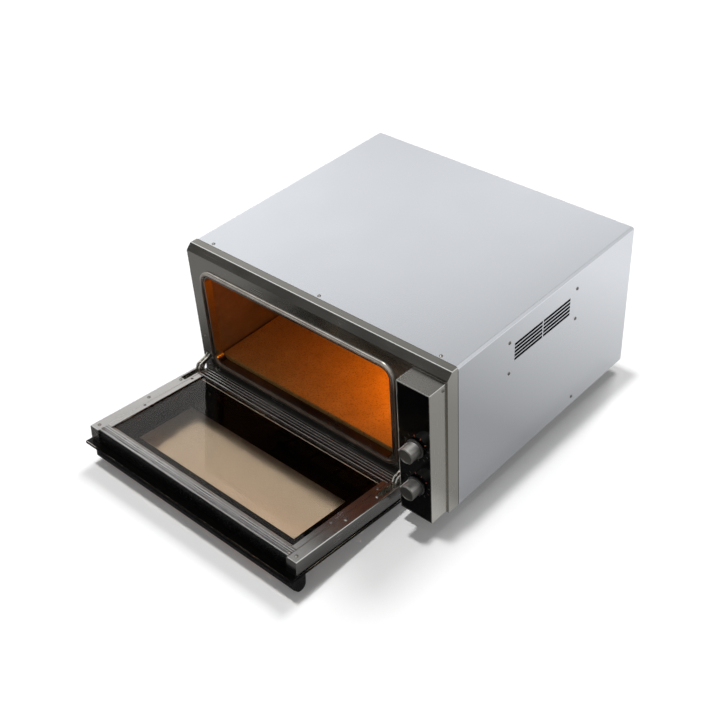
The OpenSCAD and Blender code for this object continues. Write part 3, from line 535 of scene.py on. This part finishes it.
def deflector_painted_shade():
    # Sheet behind the side vent, black as painted shade: so dull that the slots look dark
    return moulded_plastic("black_coated_sheet", "0c0c0c", 0.6, 1.5 * MM)


def seam_shadow_black():
    # Painted shadow in the joint behind the facia's flange: a fine dull black line
    return moulded_plastic("black_silicone_bead", "0b0b0b", 0.5, 1.2 * MM)


def painted_edge_highlight():
    # Pale matt strip on the edge of the steel sheet: a painted highlight, a pale line against the black panel
    return moulded_plastic("deburred_steel_edge", "aaa8a4", 0.45, 1.2 * MM)


def plated_steel(name, code, roughness):
    """Zinc-plated steel: bright with a slight yellowish bloom."""
    material, tree, output = new_material(name)
    bloom = grained(tree, (6 * MM, 6 * MM, 6 * MM), detail=4.0)
    base = rgb(code)
    warm = [c * share for c, share in zip(base, YELLOWED)] + [1.0]
    tint = two_tone(tree, bloom, base, warm)
    coat(tree, output, tint, gloss=(bloom, roughness - GLOSS_WANDER, roughness + GLOSS_WANDER),
         Metallic=1.0)
    return material


def turned_aluminium(dial):
    """Turned aluminium cap with a satin anodised skin: tool rings round its axis, drawn coarser
    to show. Its colour carries painted light: a painted highlight on top, painted shade around it."""
    material, tree, output = new_material("turned_aluminium_" + dial)
    coords = put(tree, "ShaderNodeTexCoord")
    place = put(tree, "ShaderNodeMapping", {
        "Vector": coords.outputs["Object"],
        "Location": [-c for c in JOINTS[dial + "_dial_turn"]["pos_m"]]})
    parts = put(tree, "ShaderNodeSeparateXYZ", {"Vector": place.outputs[0]})
    flat = put(tree, "ShaderNodeVectorMath", {0: place.outputs[0], 1: (1, 0, 1)}, operation="MULTIPLY")
    reach = put(tree, "ShaderNodeVectorMath", {0: flat.outputs[0]}, operation="LENGTH")
    path = put(tree, "ShaderNodeMath", {0: reach.outputs["Value"], 1: parts.outputs["Y"]})
    rings = put(tree, "ShaderNodeTexNoise", {
        "W": path.outputs[0], "Scale": 1 / RING_WIDTH, "Detail": 2.0}, noise_dimensions="1D").outputs[0]
    normal = put(tree, "ShaderNodeNewGeometry").outputs["Normal"]
    facing = put(tree, "ShaderNodeSeparateXYZ", {"Vector": normal})
    dark = two_tone(tree, rings, rgb("6b6a66"), rgb("7d7c78"))
    light = two_tone(tree, rings, rgb("dedcd8"), rgb("f0eeea"))
    # Painted light: the cap is pale where it looks up and dark around, as if lit from above
    tint = two_tone(tree, facing.outputs["Z"], dark, light, PAINTED_LIGHT_UPWARD)
    coat(tree, output, tint, gloss=(rings, 0.38, 0.48), relief=(rings, 0.02 * MM, 0.3), Metallic=1.0)
    return material


def tinted_glass(name, code):
    """Bronze float glass: tinted, clear, smooth, and open to light from the lamps."""
    material, tree, output = new_material(name)
    tint = rgb(code)
    haze = grained(tree, (45 * MM, 45 * MM, 45 * MM))
    film = put(tree, "ShaderNodeMapRange", {
        "Value": haze, "From Min": NOISE_ENDS[0], "From Max": NOISE_ENDS[1], "To Max": PANE_FILM})
    glass = put(tree, "ShaderNodeBsdfPrincipled", {
        "Base Color": tint, "IOR": 1.52, "Transmission Weight": 1.0,
        "Specular Tint": rgb("404040"), "Roughness": film.outputs[0]})
    # Light crosses two faces of the pane, so each of them takes the root of its tint
    clear = put(tree, "ShaderNodeBsdfTransparent", {"Color": [c ** 0.5 for c in tint[:3]] + [1.0]})
    path = put(tree, "ShaderNodeLightPath")
    mix = put(tree, "ShaderNodeMixShader",
              {0: path.outputs["Is Shadow Ray"], 1: glass.outputs[0], 2: clear.outputs[0]})
    tree.links.new(mix.outputs[0], output.inputs["Surface"])
    return material


def enamel_print():
    # Ceramic ink fired on the pane: black, faintly mottled, with no gloss of its own behind the glass
    material, tree, output = new_material("fired_black_ink")
    patch = grained(tree, (12 * MM, 12 * MM, 12 * MM))
    tint = two_tone(tree, patch, rgb("040404"), rgb("080807"))
    coat(tree, output, tint, Roughness=0.6, Specular_IOR_Level=0.0)
    return material


def dial_ink(name, code):
    """Screen-printed ink: flat colour, slightly uneven."""
    material, tree, output = new_material(name)
    patch = grained(tree, (1.5 * MM, 1.5 * MM, 1.5 * MM))
    base = rgb(code)
    tint = two_tone(tree, patch, toned(base, THIN_INK), base)
    coat(tree, output, tint, Roughness=0.5)
    return material


# Finish of the carried-over nodes: slot, material and edge rounding in millimetres

PLATED = plated_steel("zinc_plated_hinge", "cfcdc8", 0.24)
SCREW = plated_steel("plated_screw_steel", "8a8783", 0.34)
# Paler steel on the bends: painted highlight
BEND_HIGHLIGHT = bend_painted_highlight()
FINISH = {
    "cover_steel": (satin_cover_steel(), 0.0),
    "panel_steel": (panel_steel(), 0.0),
    "facia_steel": (facia_steel(), 0.0),
    "gasket_rubber": (braided_seal(), 0.0),
    "chamber_steel": (chamber_steel(), 0.0),
    "mineral_wool": (mineral_wool(), 0.0),
    "refractory_stone": (refractory_stone(), 1.5),
    "element_steel": (element_sheath(), 0.0),
    "lamp_steel": (PLATED, 0.0),
    "lamp_glass": (lamp_glass(), 0.0),
    "control_steel": (control_steel(), 0.0),
    "control_glass": (black_acrylic(), 0.3),
    "thermostat_ceramic": (thermostat_ceramic(), 0.5),
    "gland_plastic": (gland_nylon(), 0.3),
    "foot_rubber": (foot_rubber(), 0.8),
    "hinge_steel": (PLATED, 0.3),
    "screw_steel": (SCREW, 0.0),
    "skirt_plastic": (skirt_plastic(), 0.3),
    "shaft_steel": (PLATED, 0.0),
    "rail_steel": (rail_steel(), 0.0),
    "ridged_aluminium": (ridged_aluminium(), 0.0),
    "inner_pane": (tinted_glass("bronze_float_glass_inner", "d4cec6"), 0.5),
    "outer_pane": (tinted_glass("bronze_float_glass_outer", "d3cdc4"), 0.8),
    "handle_black": (handle_black(), 1.2),
}

# Nodes with a finish of their own
SPECIAL = {
    # The sheet behind the vent is black as painted shade
    "vent_deflector": (deflector_painted_shade(), 0.0),
    "upper_knob": (turned_aluminium("upper"), 0.0),
    "lower_knob": (turned_aluminium("lower"), 0.0),
    # The rail under the mouth is darkened with painted shade
    "rear_rail": (shaded_rail_aluminium(), 0.0),
}

# Radius of the bends on the sheet-metal pieces that show, in millimetres
BENDS = {"front_facia": 1.3, "control_box": 1.0, "left_rail": 1.6, "right_rail": 1.6,
         "front_rail": 1.4, "rear_rail": 1.4}


def dress_nodes():
    """Give each node its finish, and round its edges or bends."""
    bodies = frame["record"]["behaviour"]["bodies"]
    body_of = {node: body for body, nodes in bodies.items() for node in nodes}
    for part in frame["record"]["subparts"]:
        node, slot = part["node"], part["material_slot"]
        material, edge = SPECIAL.get(node) or FINISH[slot]
        obj = NODES[node]
        if not obj.material_slots:
            obj.data.materials.append(material)
        for place in obj.material_slots:
            place.material = material
        if node in BENDS:
            bent_sheet(node, BENDS[node] * MM, material, body_of[node])
        elif edge:
            soften(obj, edge * MM)


# Extra pieces


def print_border():
    """Black border fired on the outer pane, just under its inner face, around the viewing window."""
    low, high = door_extent("outer_glass")
    margin = 1.5 * MM
    outer = (low.x + margin, low.y + margin, high.x - margin, high.y - margin)
    window = (-WINDOW_HALF, -WINDOW_FAR, WINDOW_HALF, -WINDOW_NEAR)
    top = high.z - PRINT_SKIN
    bm = bmesh.new()
    add_ring(bm, outer, window, top - PRINT_THICK, top, DOOR)
    finish_piece("print_border", mesh_of(bm, "print_border"), enamel_print(), "door")


def front_strip():
    """Black strip on the front face of the door frame."""
    low, high = door_extent("front_rail")
    inset = 0.3 * MM
    proud = 1.2 * MM
    gap = 0.02 * MM
    below_top = 2.5 * MM
    rounding = 0.4 * MM
    bm = bmesh.new()
    add_slab(bm, (low.x + inset, low.y - proud, low.z + inset),
             (high.x - inset, low.y - gap, high.z - below_top), DOOR)
    finish_piece("front_strip", mesh_of(bm, "front_strip"), trim_black(), "door",
                 bevel=rounding)


def seam_bead():
    """Dark strip in the upright joint between the facia's flange and the cover, at the right: painted shadow of
    the joint.
    """
    low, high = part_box("outer_cover")
    gap = 0.8 * MM
    lap = 0.4 * MM
    proud = 0.05 * MM
    above_foot = 1 * MM
    below_top = 8 * MM
    bm = bmesh.new()
    add_slab(bm, (high.x - lap, low.y - gap - lap, low.z + above_foot),
             (high.x + proud, low.y + lap, high.z - below_top), Matrix())
    finish_piece("seam_bead", mesh_of(bm, "seam_bead"), seam_shadow_black(), "oven")


def panel_edge():
    """Painted highlight on the control box's edge: a pale strip, upright at the left of its black panel."""
    low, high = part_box("control_box")
    proud = 0.05 * MM
    left = 0.2 * MM
    right = 1.2 * MM
    above_foot = 60 * MM
    below_top = 1.5 * MM
    bm = bmesh.new()
    add_slab(bm, (low.x + left, low.y - proud, low.z + above_foot),
             (low.x + right, low.y + proud, high.z - below_top), Matrix())
    finish_piece("panel_edge", mesh_of(bm, "panel_edge"), painted_edge_highlight(), "oven")


# Screws: domed heads with a cross recess on the places of the plain ones

HEAD_HEIGHT = 1.9 * MM
HEAD_RIM = 0.5 * MM
HEAD_SIDES = 32
DOME_RINGS = 24
# Size of the recess, as shares of the head's radius
RECESS_LENGTH = 1.15
RECESS_WIDTH = 0.26
# What tells the solids of a node apart, a shank from a head, and a shank's end from its length
POINT_GAP = 0.005 * MM
SHANK_LIMIT = 2.3 * MM
SHANK_END = 0.2 * MM


def input_socket(tree, name, kind, value=None):
    """Named input of a tree; its identifier sets it on a modifier."""
    socket = tree.interface.new_socket(name, in_out="INPUT", socket_type=kind)
    if value is not None:
        socket.default_value = value
    return socket.identifier


def screw_tree():
    """Geometry Nodes: one domed head with a cross recess, set on every point along its axis."""
    tree = bpy.data.node_groups.new("pan_head_screws", "GeometryNodeTree")
    names = {"Geometry": input_socket(tree, "Geometry", "NodeSocketGeometry")}
    tree.interface.new_socket("Geometry", in_out="OUTPUT", socket_type="NodeSocketGeometry")
    for name in ("Head radius", "Head height", "Dome radius", "Recess length", "Recess width"):
        names[name] = input_socket(tree, name, "NodeSocketFloat", 1.0)
    names["Material"] = input_socket(tree, "Material", "NodeSocketMaterial")
    given = put(tree, "NodeGroupInput").outputs
    output = put(tree, "NodeGroupOutput")
    dome = put(tree, "GeometryNodeMeshUVSphere",
               {"Segments": HEAD_SIDES, "Rings": DOME_RINGS, "Radius": given["Dome radius"]})
    sink = put(tree, "ShaderNodeMath", {0: given["Head height"], 1: given["Dome radius"]},
               operation="SUBTRACT")
    sink_place = put(tree, "ShaderNodeCombineXYZ", {"Z": sink.outputs[0]})
    dome = put(tree, "GeometryNodeTransform",
               {"Geometry": dome.outputs[0], "Translation": sink_place.outputs[0]})
    rim = put(tree, "GeometryNodeMeshCylinder",
              {"Vertices": HEAD_SIDES, "Radius": given["Head radius"], "Depth": given["Head height"]})
    half = put(tree, "ShaderNodeMath", {0: given["Head height"], 1: 0.5}, operation="MULTIPLY")
    rim_place = put(tree, "ShaderNodeCombineXYZ", {"Z": half.outputs[0]})
    rim = put(tree, "GeometryNodeTransform",
              {"Geometry": rim.outputs[0], "Translation": rim_place.outputs[0]})
    head = put(tree, "GeometryNodeMeshBoolean", operation="INTERSECT")
    tree.links.new(dome.outputs[0], head.inputs["Mesh 2"])
    tree.links.new(rim.outputs[0], head.inputs["Mesh 2"])
    top_place = put(tree, "ShaderNodeCombineXYZ", {"Z": given["Head height"]})
    cross = put(tree, "GeometryNodeMeshBoolean", {"Mesh 1": head.outputs[0]}, operation="DIFFERENCE")
    for along, across in (("X", "Y"), ("Y", "X")):
        size = put(tree, "ShaderNodeCombineXYZ", {
            along: given["Recess length"], across: given["Recess width"], "Z": given["Head height"]})
        bar = put(tree, "GeometryNodeMeshCube", {"Size": size.outputs[0]})
        bar = put(tree, "GeometryNodeTransform",
                  {"Geometry": bar.outputs[0], "Translation": top_place.outputs[0]})
        tree.links.new(bar.outputs[0], cross.inputs["Mesh 2"])
    axis = put(tree, "GeometryNodeInputNamedAttribute", {"Name": "axis"}, data_type="FLOAT_VECTOR")
    size = put(tree, "GeometryNodeInputNamedAttribute", {"Name": "size"}, data_type="FLOAT")
    turn = put(tree, "FunctionNodeAlignRotationToVector", {"Vector": axis.outputs[0]}, axis="Z")
    copies = put(tree, "GeometryNodeInstanceOnPoints", {
        "Points": given["Geometry"], "Instance": cross.outputs[0],
        "Rotation": turn.outputs[0], "Scale": size.outputs[0]})
    real = put(tree, "GeometryNodeRealizeInstances", {"Geometry": copies.outputs[0]})
    done = put(tree, "GeometryNodeSetMaterial",
               {"Geometry": real.outputs[0], "Material": given["Material"]})
    tree.links.new(done.outputs[0], output.inputs["Geometry"])
    return tree, names


def grown_mesh(points, tree, names, values, name, attributes=()):
    """Run a Geometry Nodes tree on points and return the result as a plain mesh."""
    mesh = bpy.data.meshes.new(name + "_points")
    mesh.from_pydata(points, [], [])
    for key, kind, field, data in attributes:
        layer = mesh.attributes.new(key, kind, "POINT")
        layer.data.foreach_set(field, data)
    obj = bpy.data.objects.new(name + "_maker", mesh)
    scene.collection.objects.link(obj)
    modifier = obj.modifiers.new("grow", "NODES")
    modifier.node_group = tree
    for key, value in values.items():
        modifier[names[key]] = value
    graph = bpy.context.evaluated_depsgraph_get()
    graph.update()
    result = bpy.data.meshes.new_from_object(obj.evaluated_get(graph), depsgraph=graph)
    obj.modifiers.remove(modifier)
    bpy.data.objects.remove(obj)
    result.name = name
    return result


def islands(node):
    """Groups of points of the separate solids in a node."""
    bm = bmesh.new()
    bm.from_mesh(NODES[node].data)
    bmesh.ops.remove_doubles(bm, verts=bm.verts, dist=POINT_GAP)
    seen = set()
    groups = []
    for start in bm.verts:
        if start.index in seen:
            continue
        seen.add(start.index)
        todo = [start]
        group = []
        while todo:
            vert = todo.pop()
            group.append(vert.co.copy())
            for edge in vert.link_edges:
                other = edge.other_vert(vert)
                if other.index not in seen:
                    seen.add(other.index)
                    todo.append(other)
        groups.append(group)
    bm.free()
    return groups


def screw_place(group, axes):
    """Head radius, seat and axis of one screw: about its own axis it is narrowest, its shank behind."""
    found = []
    for axis in axes:
        along = [p.dot(axis) for p in group]
        end = min(along) + SHANK_END
        tail = [p for p, t in zip(group, along) if t < end]
        centre = sum(tail, Vector()) / len(tail)
        radii = [((p - centre) - axis * (p - centre).dot(axis)).length for p in group]
        tail_radius = max(r for r, t in zip(radii, along) if t < end)
        if tail_radius < SHANK_LIMIT:
            seat = min(t for r, t in zip(radii, along) if r > SHANK_LIMIT)
            found.append((max(radii), centre + axis * (seat - centre.dot(axis)), axis))
    return min(found, key=lambda place: place[0])


def screw_heads():
    """Heads in place of the plain screws, one mesh for each node of screws."""
    tree, names = screw_tree()
    x, y, z = Vector((1, 0, 0)), Vector((0, 1, 0)), Vector((0, 0, 1))
    door_up = (DOOR.to_3x3() @ z).normalized()
    groups = {
        "cover_screws": ("oven", (z, x, -x)),
        "rear_screws": ("oven", (y,)),
        "facia_screws": ("oven", (-y, x)),
        "foot_screws": ("oven", (-z,)),
        "door_screws": ("door", (door_up,)),
    }
    for node, (body, axes) in groups.items():
        places = [screw_place(group, axes) for group in islands(node)]
        largest = max(place[0] for place in places)
        dome = (largest ** 2 + (HEAD_HEIGHT - HEAD_RIM) ** 2) / (2 * (HEAD_HEIGHT - HEAD_RIM))
        values = {"Head radius": largest, "Head height": HEAD_HEIGHT, "Dome radius": dome,
                  "Recess length": largest * RECESS_LENGTH,
                  "Recess width": largest * RECESS_WIDTH, "Material": SCREW}
        mesh = grown_mesh(
            [place[1] for place in places], tree, names, values, node + "_heads",
            (("axis", "FLOAT_VECTOR", "vector", [c for place in places for c in place[2]]),
             ("size", "FLOAT", "value", [place[0] / largest for place in places])))
        finish_piece(node + "_heads", mesh, None, body, (node,))


# Dial marks printed on the control panel

MARK_RADIUS = 28 * MM
MARK_LENGTH = 5 * MM
MARK_WIDTH = 2 * MM
MARK_THICK = 0.12 * MM
POINTER_ANGLE = math.radians(158)
DIAL_SWEEP = math.radians(300)
DIAL_STEPS = 11
WARM_MARKS = (2, 5)


def mark_tree():
    """Geometry Nodes: short bars on an arc, standing along its radii."""
    tree = bpy.data.node_groups.new("dial_marks", "GeometryNodeTree")
    names = {"Geometry": input_socket(tree, "Geometry", "NodeSocketGeometry")}
    tree.interface.new_socket("Geometry", in_out="OUTPUT", socket_type="NodeSocketGeometry")
    for name in ("Radius", "Start angle", "Step angle", "Bar length", "Bar width", "Bar thickness"):
        names[name] = input_socket(tree, name, "NodeSocketFloat", 1.0)
    names["Count"] = input_socket(tree, "Count", "NodeSocketInt", 2)
    names["Centre"] = input_socket(tree, "Centre", "NodeSocketVector")
    names["Material"] = input_socket(tree, "Material", "NodeSocketMaterial")
    given = put(tree, "NodeGroupInput").outputs
    output = put(tree, "NodeGroupOutput")
    line = put(tree, "GeometryNodeMeshLine", {"Count": given["Count"]})
    index = put(tree, "GeometryNodeInputIndex")
    angle = put(tree, "ShaderNodeMath",
                {0: index.outputs[0], 1: given["Step angle"], 2: given["Start angle"]},
                operation="MULTIPLY_ADD")
    reach = put(tree, "ShaderNodeCombineXYZ", {"X": given["Radius"]})
    place = put(tree, "ShaderNodeVectorRotate",
                {"Vector": reach.outputs[0], "Axis": (0, 0, 1), "Angle": angle.outputs[0]})
    points = put(tree, "GeometryNodeSetPosition",
                 {"Geometry": line.outputs[0], "Position": place.outputs[0]})
    size = put(tree, "ShaderNodeCombineXYZ", {
        "X": given["Bar length"], "Y": given["Bar width"], "Z": given["Bar thickness"]})
    bar = put(tree, "GeometryNodeMeshCube", {"Size": size.outputs[0]})
    turn = put(tree, "ShaderNodeCombineXYZ", {"Z": angle.outputs[0]})
    copies = put(tree, "GeometryNodeInstanceOnPoints", {
        "Points": points.outputs[0], "Instance": bar.outputs[0], "Rotation": turn.outputs[0]})
    real = put(tree, "GeometryNodeRealizeInstances", {"Geometry": copies.outputs[0]})
    upright = put(tree, "GeometryNodeTransform", {
        "Geometry": real.outputs[0], "Rotation": (math.radians(90), 0, 0),
        "Translation": given["Centre"]})
    done = put(tree, "GeometryNodeSetMaterial",
               {"Geometry": upright.outputs[0], "Material": given["Material"]})
    tree.links.new(done.outputs[0], output.inputs["Geometry"])
    return tree, names


def dial_marks():
    """Marks round each knob: grey, with a few warm ones."""
    tree, names = mark_tree()
    panel_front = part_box("control_panel")[0].y
    grey = dial_ink("grey_dial_ink", "3a3632")
    inks = {"upper": dial_ink("orange_dial_ink", "a5552b"), "lower": dial_ink("red_dial_ink", "98302a")}
    step = -DIAL_SWEEP / (DIAL_STEPS - 1)
    for dial, ink in inks.items():
        place = JOINTS[dial + "_dial_turn"]["pos_m"]
        centre = (place[0], panel_front - MARK_THICK / 2, place[2])
        first, last = WARM_MARKS
        runs = ((0, first, grey), (first, last, ink), (last, DIAL_STEPS, grey))
        bm = bmesh.new()
        materials = []
        for start, end, colour in runs:
            values = {"Radius": MARK_RADIUS, "Start angle": POINTER_ANGLE + start * step,
                      "Step angle": step, "Bar length": MARK_LENGTH, "Bar width": MARK_WIDTH,
                      "Bar thickness": MARK_THICK, "Count": end - start, "Centre": centre,
                      "Material": colour}
            mesh = grown_mesh([(0, 0, 0)], tree, names, values, dial + "_marks_run")
            if colour not in materials:
                materials.append(colour)
            before = len(bm.faces)
            bm.from_mesh(mesh)
            bm.faces.ensure_lookup_table()
            for face in bm.faces[before:]:
                face.material_index = materials.index(colour)
        mesh = mesh_of(bm, dial + "_dial_marks")
        for colour in materials:
            mesh.materials.append(colour)
        finish_piece(dial + "_dial_marks", mesh, None, "oven")


# Stage, light and camera

# Level of the room on matt surfaces
AMBIENT = 0.2
# What the bright metal mirrors: an even grey room with brighter and darker places,
# each with its direction, gain, and the cosines at its rim and at its full level
ROOM = 0.62
MIRRORED = (
    # Softboxes behind at the left, at the left, high at the left, high behind, and behind at the right
    (Vector((-0.677, 0.699, 0.231)), 0.72, 0.89, 0.935),
    (Vector((-0.79, 0.38, 0.48)), 0.45, 0.965, 0.992),
    (Vector((-0.69, -0.02, 0.72)), 0.7, 0.95, 0.985),
    (Vector((0.0, 0.56, 0.83)), 0.15, 0.95, 0.98),
    (Vector((0.62, 0.56, 0.55)), 0.15, 0.9, 0.97),
    # Dark places in front at the left, high behind at the left, and low behind
    (Vector((-0.548, -0.622, 0.559)), -0.47, 0.92, 0.966),
    (Vector((-0.46, 0.58, 0.67)), -0.26, 0.955, 0.985),
    (Vector((-0.61, 0.71, 0.35)), -0.66, 0.984, 0.996),
)
# No place is much brighter than white paper, so that pale steel doesn't clip in lower views
MIRROR_LIMIT = 1.1
# Lamps: direction, strength and angle of the key light overhead and of the soft light behind
SUNS = {
    "key": (Vector((-0.12, -0.02, 1.0)), 1.55, math.radians(4.5)),
    "back": (Vector((-0.1, 0.55, 0.83)), 1.45, math.radians(18)),
}
# Light that the floor adds of its own, to the camera and to the steel that mirrors it
CAMERA_LIFT = 0.1
MIRROR_LIFT = 4.0
# Mirrored in the steel the floor falls off to grey towards the front left, away from the softboxes:
# sideways share of that direction, and three steps, each with its levels and its ends in metres;
# the first two are dim in front of the oven, by a share and its ends across the oven,
# and the open floor left of the door adds its own level
FLOOR_SIDEWAYS = 0.15
FLOOR_STEPS = ((0.012, 0.075, -0.3, -0.05), (0.07, 0.0, -0.09, -0.02), (0.0, 0.11, 0.21, 0.88))
FLOOR_FRONT = (0.25, 1.0, 0.3, 0.36)
FLOOR_LEFT = (0.07, 0.0, -0.6, -0.44)


def leave_out(lamp, node):
    """Keep a lamp's light off one node, whose flat top would mirror it as a large white patch."""
    spared = bpy.data.collections.new("not_lit_by_" + lamp.name)
    spared.objects.link(NODES[node])
    spared.collection_objects[0].light_linking.link_state = "EXCLUDE"
    lamp.light_linking.receiver_collection = spared


def studio():
    """White surroundings, what the metal mirrors, and the lamps."""
    world = bpy.data.worlds.new("studio")
    scene.world = world
    world.use_nodes = True
    tree = world.node_tree
    tree.nodes.clear()
    output = put(tree, "ShaderNodeOutputWorld")
    path = put(tree, "ShaderNodeLightPath")
    coords = put(tree, "ShaderNodeTexCoord")
    mirror = ROOM
    for place, gain, wide, narrow in MIRRORED:
        facing = put(tree, "ShaderNodeVectorMath",
                     {0: coords.outputs["Generated"], 1: place.normalized()}, operation="DOT_PRODUCT")
        patch = put(tree, "ShaderNodeMapRange", {
            "Value": facing.outputs["Value"], "From Min": wide, "From Max": narrow,
            "To Min": 0.0, "To Max": gain}, interpolation_type="SMOOTHSTEP")
        mirror = put(tree, "ShaderNodeMath", {0: mirror, 1: patch.outputs[0]}).outputs[0]
    mirror = put(tree, "ShaderNodeMath", {0: mirror, 1: MIRROR_LIMIT}, operation="MINIMUM").outputs[0]
    # Light that has met a matt surface sees only the dim room, also through glass
    seen = put(tree, "ShaderNodeMath", {0: 1.0, 1: path.outputs["Diffuse Depth"]},
               operation="SUBTRACT", use_clamp=True)
    glossy = put(tree, "ShaderNodeMath", {0: path.outputs["Is Glossy Ray"], 1: seen.outputs[0]},
                 operation="MULTIPLY")
    through = put(tree, "ShaderNodeMath", {0: path.outputs["Is Transmission Ray"], 1: seen.outputs[0]},
                  operation="MULTIPLY")
    lit = put(tree, "ShaderNodeMix", {"Factor": glossy.outputs[0], "A": AMBIENT, "B": mirror})
    direct = put(tree, "ShaderNodeMath", {0: path.outputs["Is Camera Ray"], 1: through.outputs[0]},
                 operation="MAXIMUM")
    level = put(tree, "ShaderNodeMix", {"Factor": direct.outputs[0], "A": lit.outputs[0], "B": 1.0})
    sky = put(tree, "ShaderNodeBackground", {"Color": (1, 1, 1, 1), "Strength": level.outputs[0]})
    tree.links.new(sky.outputs[0], output.inputs["Surface"])

    for name, (place, strength, angle) in SUNS.items():
        sun = bpy.data.lights.new(name, "SUN")
        sun.energy = strength
        sun.angle = angle
        lamp = bpy.data.objects.new(name, sun)
        lamp.rotation_mode = "QUATERNION"
        lamp.rotation_quaternion = place.to_track_quat("Z", "Y")
        lamp.visible_glossy = name == "key"
        # The panes let its light through as shadow rays, so refracted rays don't count it again
        lamp.visible_transmission = False
        scene.collection.objects.link(lamp)
        if name == "key":
            leave_out(lamp, "outer_cover")


def floor():
    """White paper floor: matt and even, but grey by steps where the steel mirrors it."""
    bm = bmesh.new()
    bmesh.ops.create_grid(bm, x_segments=1, y_segments=1, size=FLOOR_HALF,
                          matrix=Matrix.Translation((0, 0, -FLOOR_DROP)))
    mesh = bpy.data.meshes.new("floor")
    bm.to_mesh(mesh)
    bm.free()
    material, tree, output = new_material("white_paper_floor")
    path = put(tree, "ShaderNodeLightPath")
    coords = put(tree, "ShaderNodeTexCoord")
    inward = put(tree, "ShaderNodeVectorMath", {0: coords.outputs["Object"], 1: (FLOOR_SIDEWAYS, 1, 0)},
                 operation="DOT_PRODUCT").outputs["Value"]
    across = put(tree, "ShaderNodeSeparateXYZ", {"Vector": coords.outputs["Object"]}).outputs["X"]
    ramps = [(inward, step) for step in FLOOR_STEPS] + [(across, FLOOR_FRONT), (across, FLOOR_LEFT)]
    levels = []
    for value, (low, high, start, end) in ramps:
        level = put(tree, "ShaderNodeMapRange", {
            "Value": value, "From Min": start, "From Max": end, "To Min": low, "To Max": high})
        levels.append(level.outputs[0])
    rise, contact, behind, front, left = levels
    near = put(tree, "ShaderNodeMath", {0: rise, 1: contact})
    grey = put(tree, "ShaderNodeMath", {0: near.outputs[0], 1: front, 2: behind},
               operation="MULTIPLY_ADD")
    grey = put(tree, "ShaderNodeMath", {0: grey.outputs[0], 1: left})
    # A ray through glass counts as glossy too, but it shows the floor as it is
    mirrored = put(tree, "ShaderNodeMath", {
        0: path.outputs["Is Glossy Ray"], 1: path.outputs["Is Transmission Ray"]},
        operation="SUBTRACT", use_clamp=True)
    tint = put(tree, "ShaderNodeMix", {0: mirrored.outputs[0], 6: rgb("f7f7f7"), 7: grey.outputs[0]},
               data_type="RGBA").outputs[2]
    lift = put(tree, "ShaderNodeMapRange", {
        "Value": mirrored.outputs[0], "To Min": 0.0, "To Max": MIRROR_LIFT})
    lift = put(tree, "ShaderNodeMath", {
        0: path.outputs["Is Camera Ray"], 1: CAMERA_LIFT, 2: lift.outputs[0]}, operation="MULTIPLY_ADD")
    coat(tree, output, tint, Roughness=0.9, Specular_IOR_Level=0.0,
         Emission_Color=tint, Emission_Strength=lift.outputs[0])
    mesh.materials.append(material)
    obj = bpy.data.objects.new("floor", mesh)
    scene.collection.objects.link(obj)


# Chamber lamp: power, distance from its lens, and radius as a share of the lens's height
LAMP_POWER = 3.4
LAMP_GAP = 45 * MM
LAMP_SOFT = 0.3


def chamber_lamp():
    """Warm light of the lamp in the right wall of the chamber."""
    low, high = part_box("lamp_lens")
    light = bpy.data.lights.new("chamber_lamp", "POINT")
    light.shadow_soft_size = (high.z - low.z) * LAMP_SOFT
    light.energy = LAMP_POWER
    light.color = rgb("ffa119")[:3]
    obj = bpy.data.objects.new("chamber_lamp", light)
    obj.location = (low.x - LAMP_GAP, (low.y + high.y) / 2, (low.z + high.z) / 2)
    obj.visible_glossy = False
    scene.collection.objects.link(obj)


def camera():
    """Camera at the photograph's place, angle and roll."""
    data = bpy.data.cameras.new("camera")
    data.lens = CAMERA_LENS
    data.sensor_fit = "HORIZONTAL"
    data.sensor_width = CAMERA_SENSOR
    obj = bpy.data.objects.new("camera", data)
    back = Vector((math.sin(CAMERA_AZIMUTH) * math.cos(CAMERA_ELEVATION),
                   -math.cos(CAMERA_AZIMUTH) * math.cos(CAMERA_ELEVATION),
                   math.sin(CAMERA_ELEVATION)))
    obj.location = CAMERA_PLACE
    obj.rotation_mode = "QUATERNION"
    obj.rotation_quaternion = ((-back).to_track_quat("-Z", "Y")
                               @ Quaternion((0, 0, 1), CAMERA_ROLL))
    scene.collection.objects.link(obj)
    scene.camera = obj


camera()
dress_nodes()
print_border()
front_strip()
seam_bead()
panel_edge()
screw_heads()
dial_marks()
floor()
studio()
chamber_lamp()
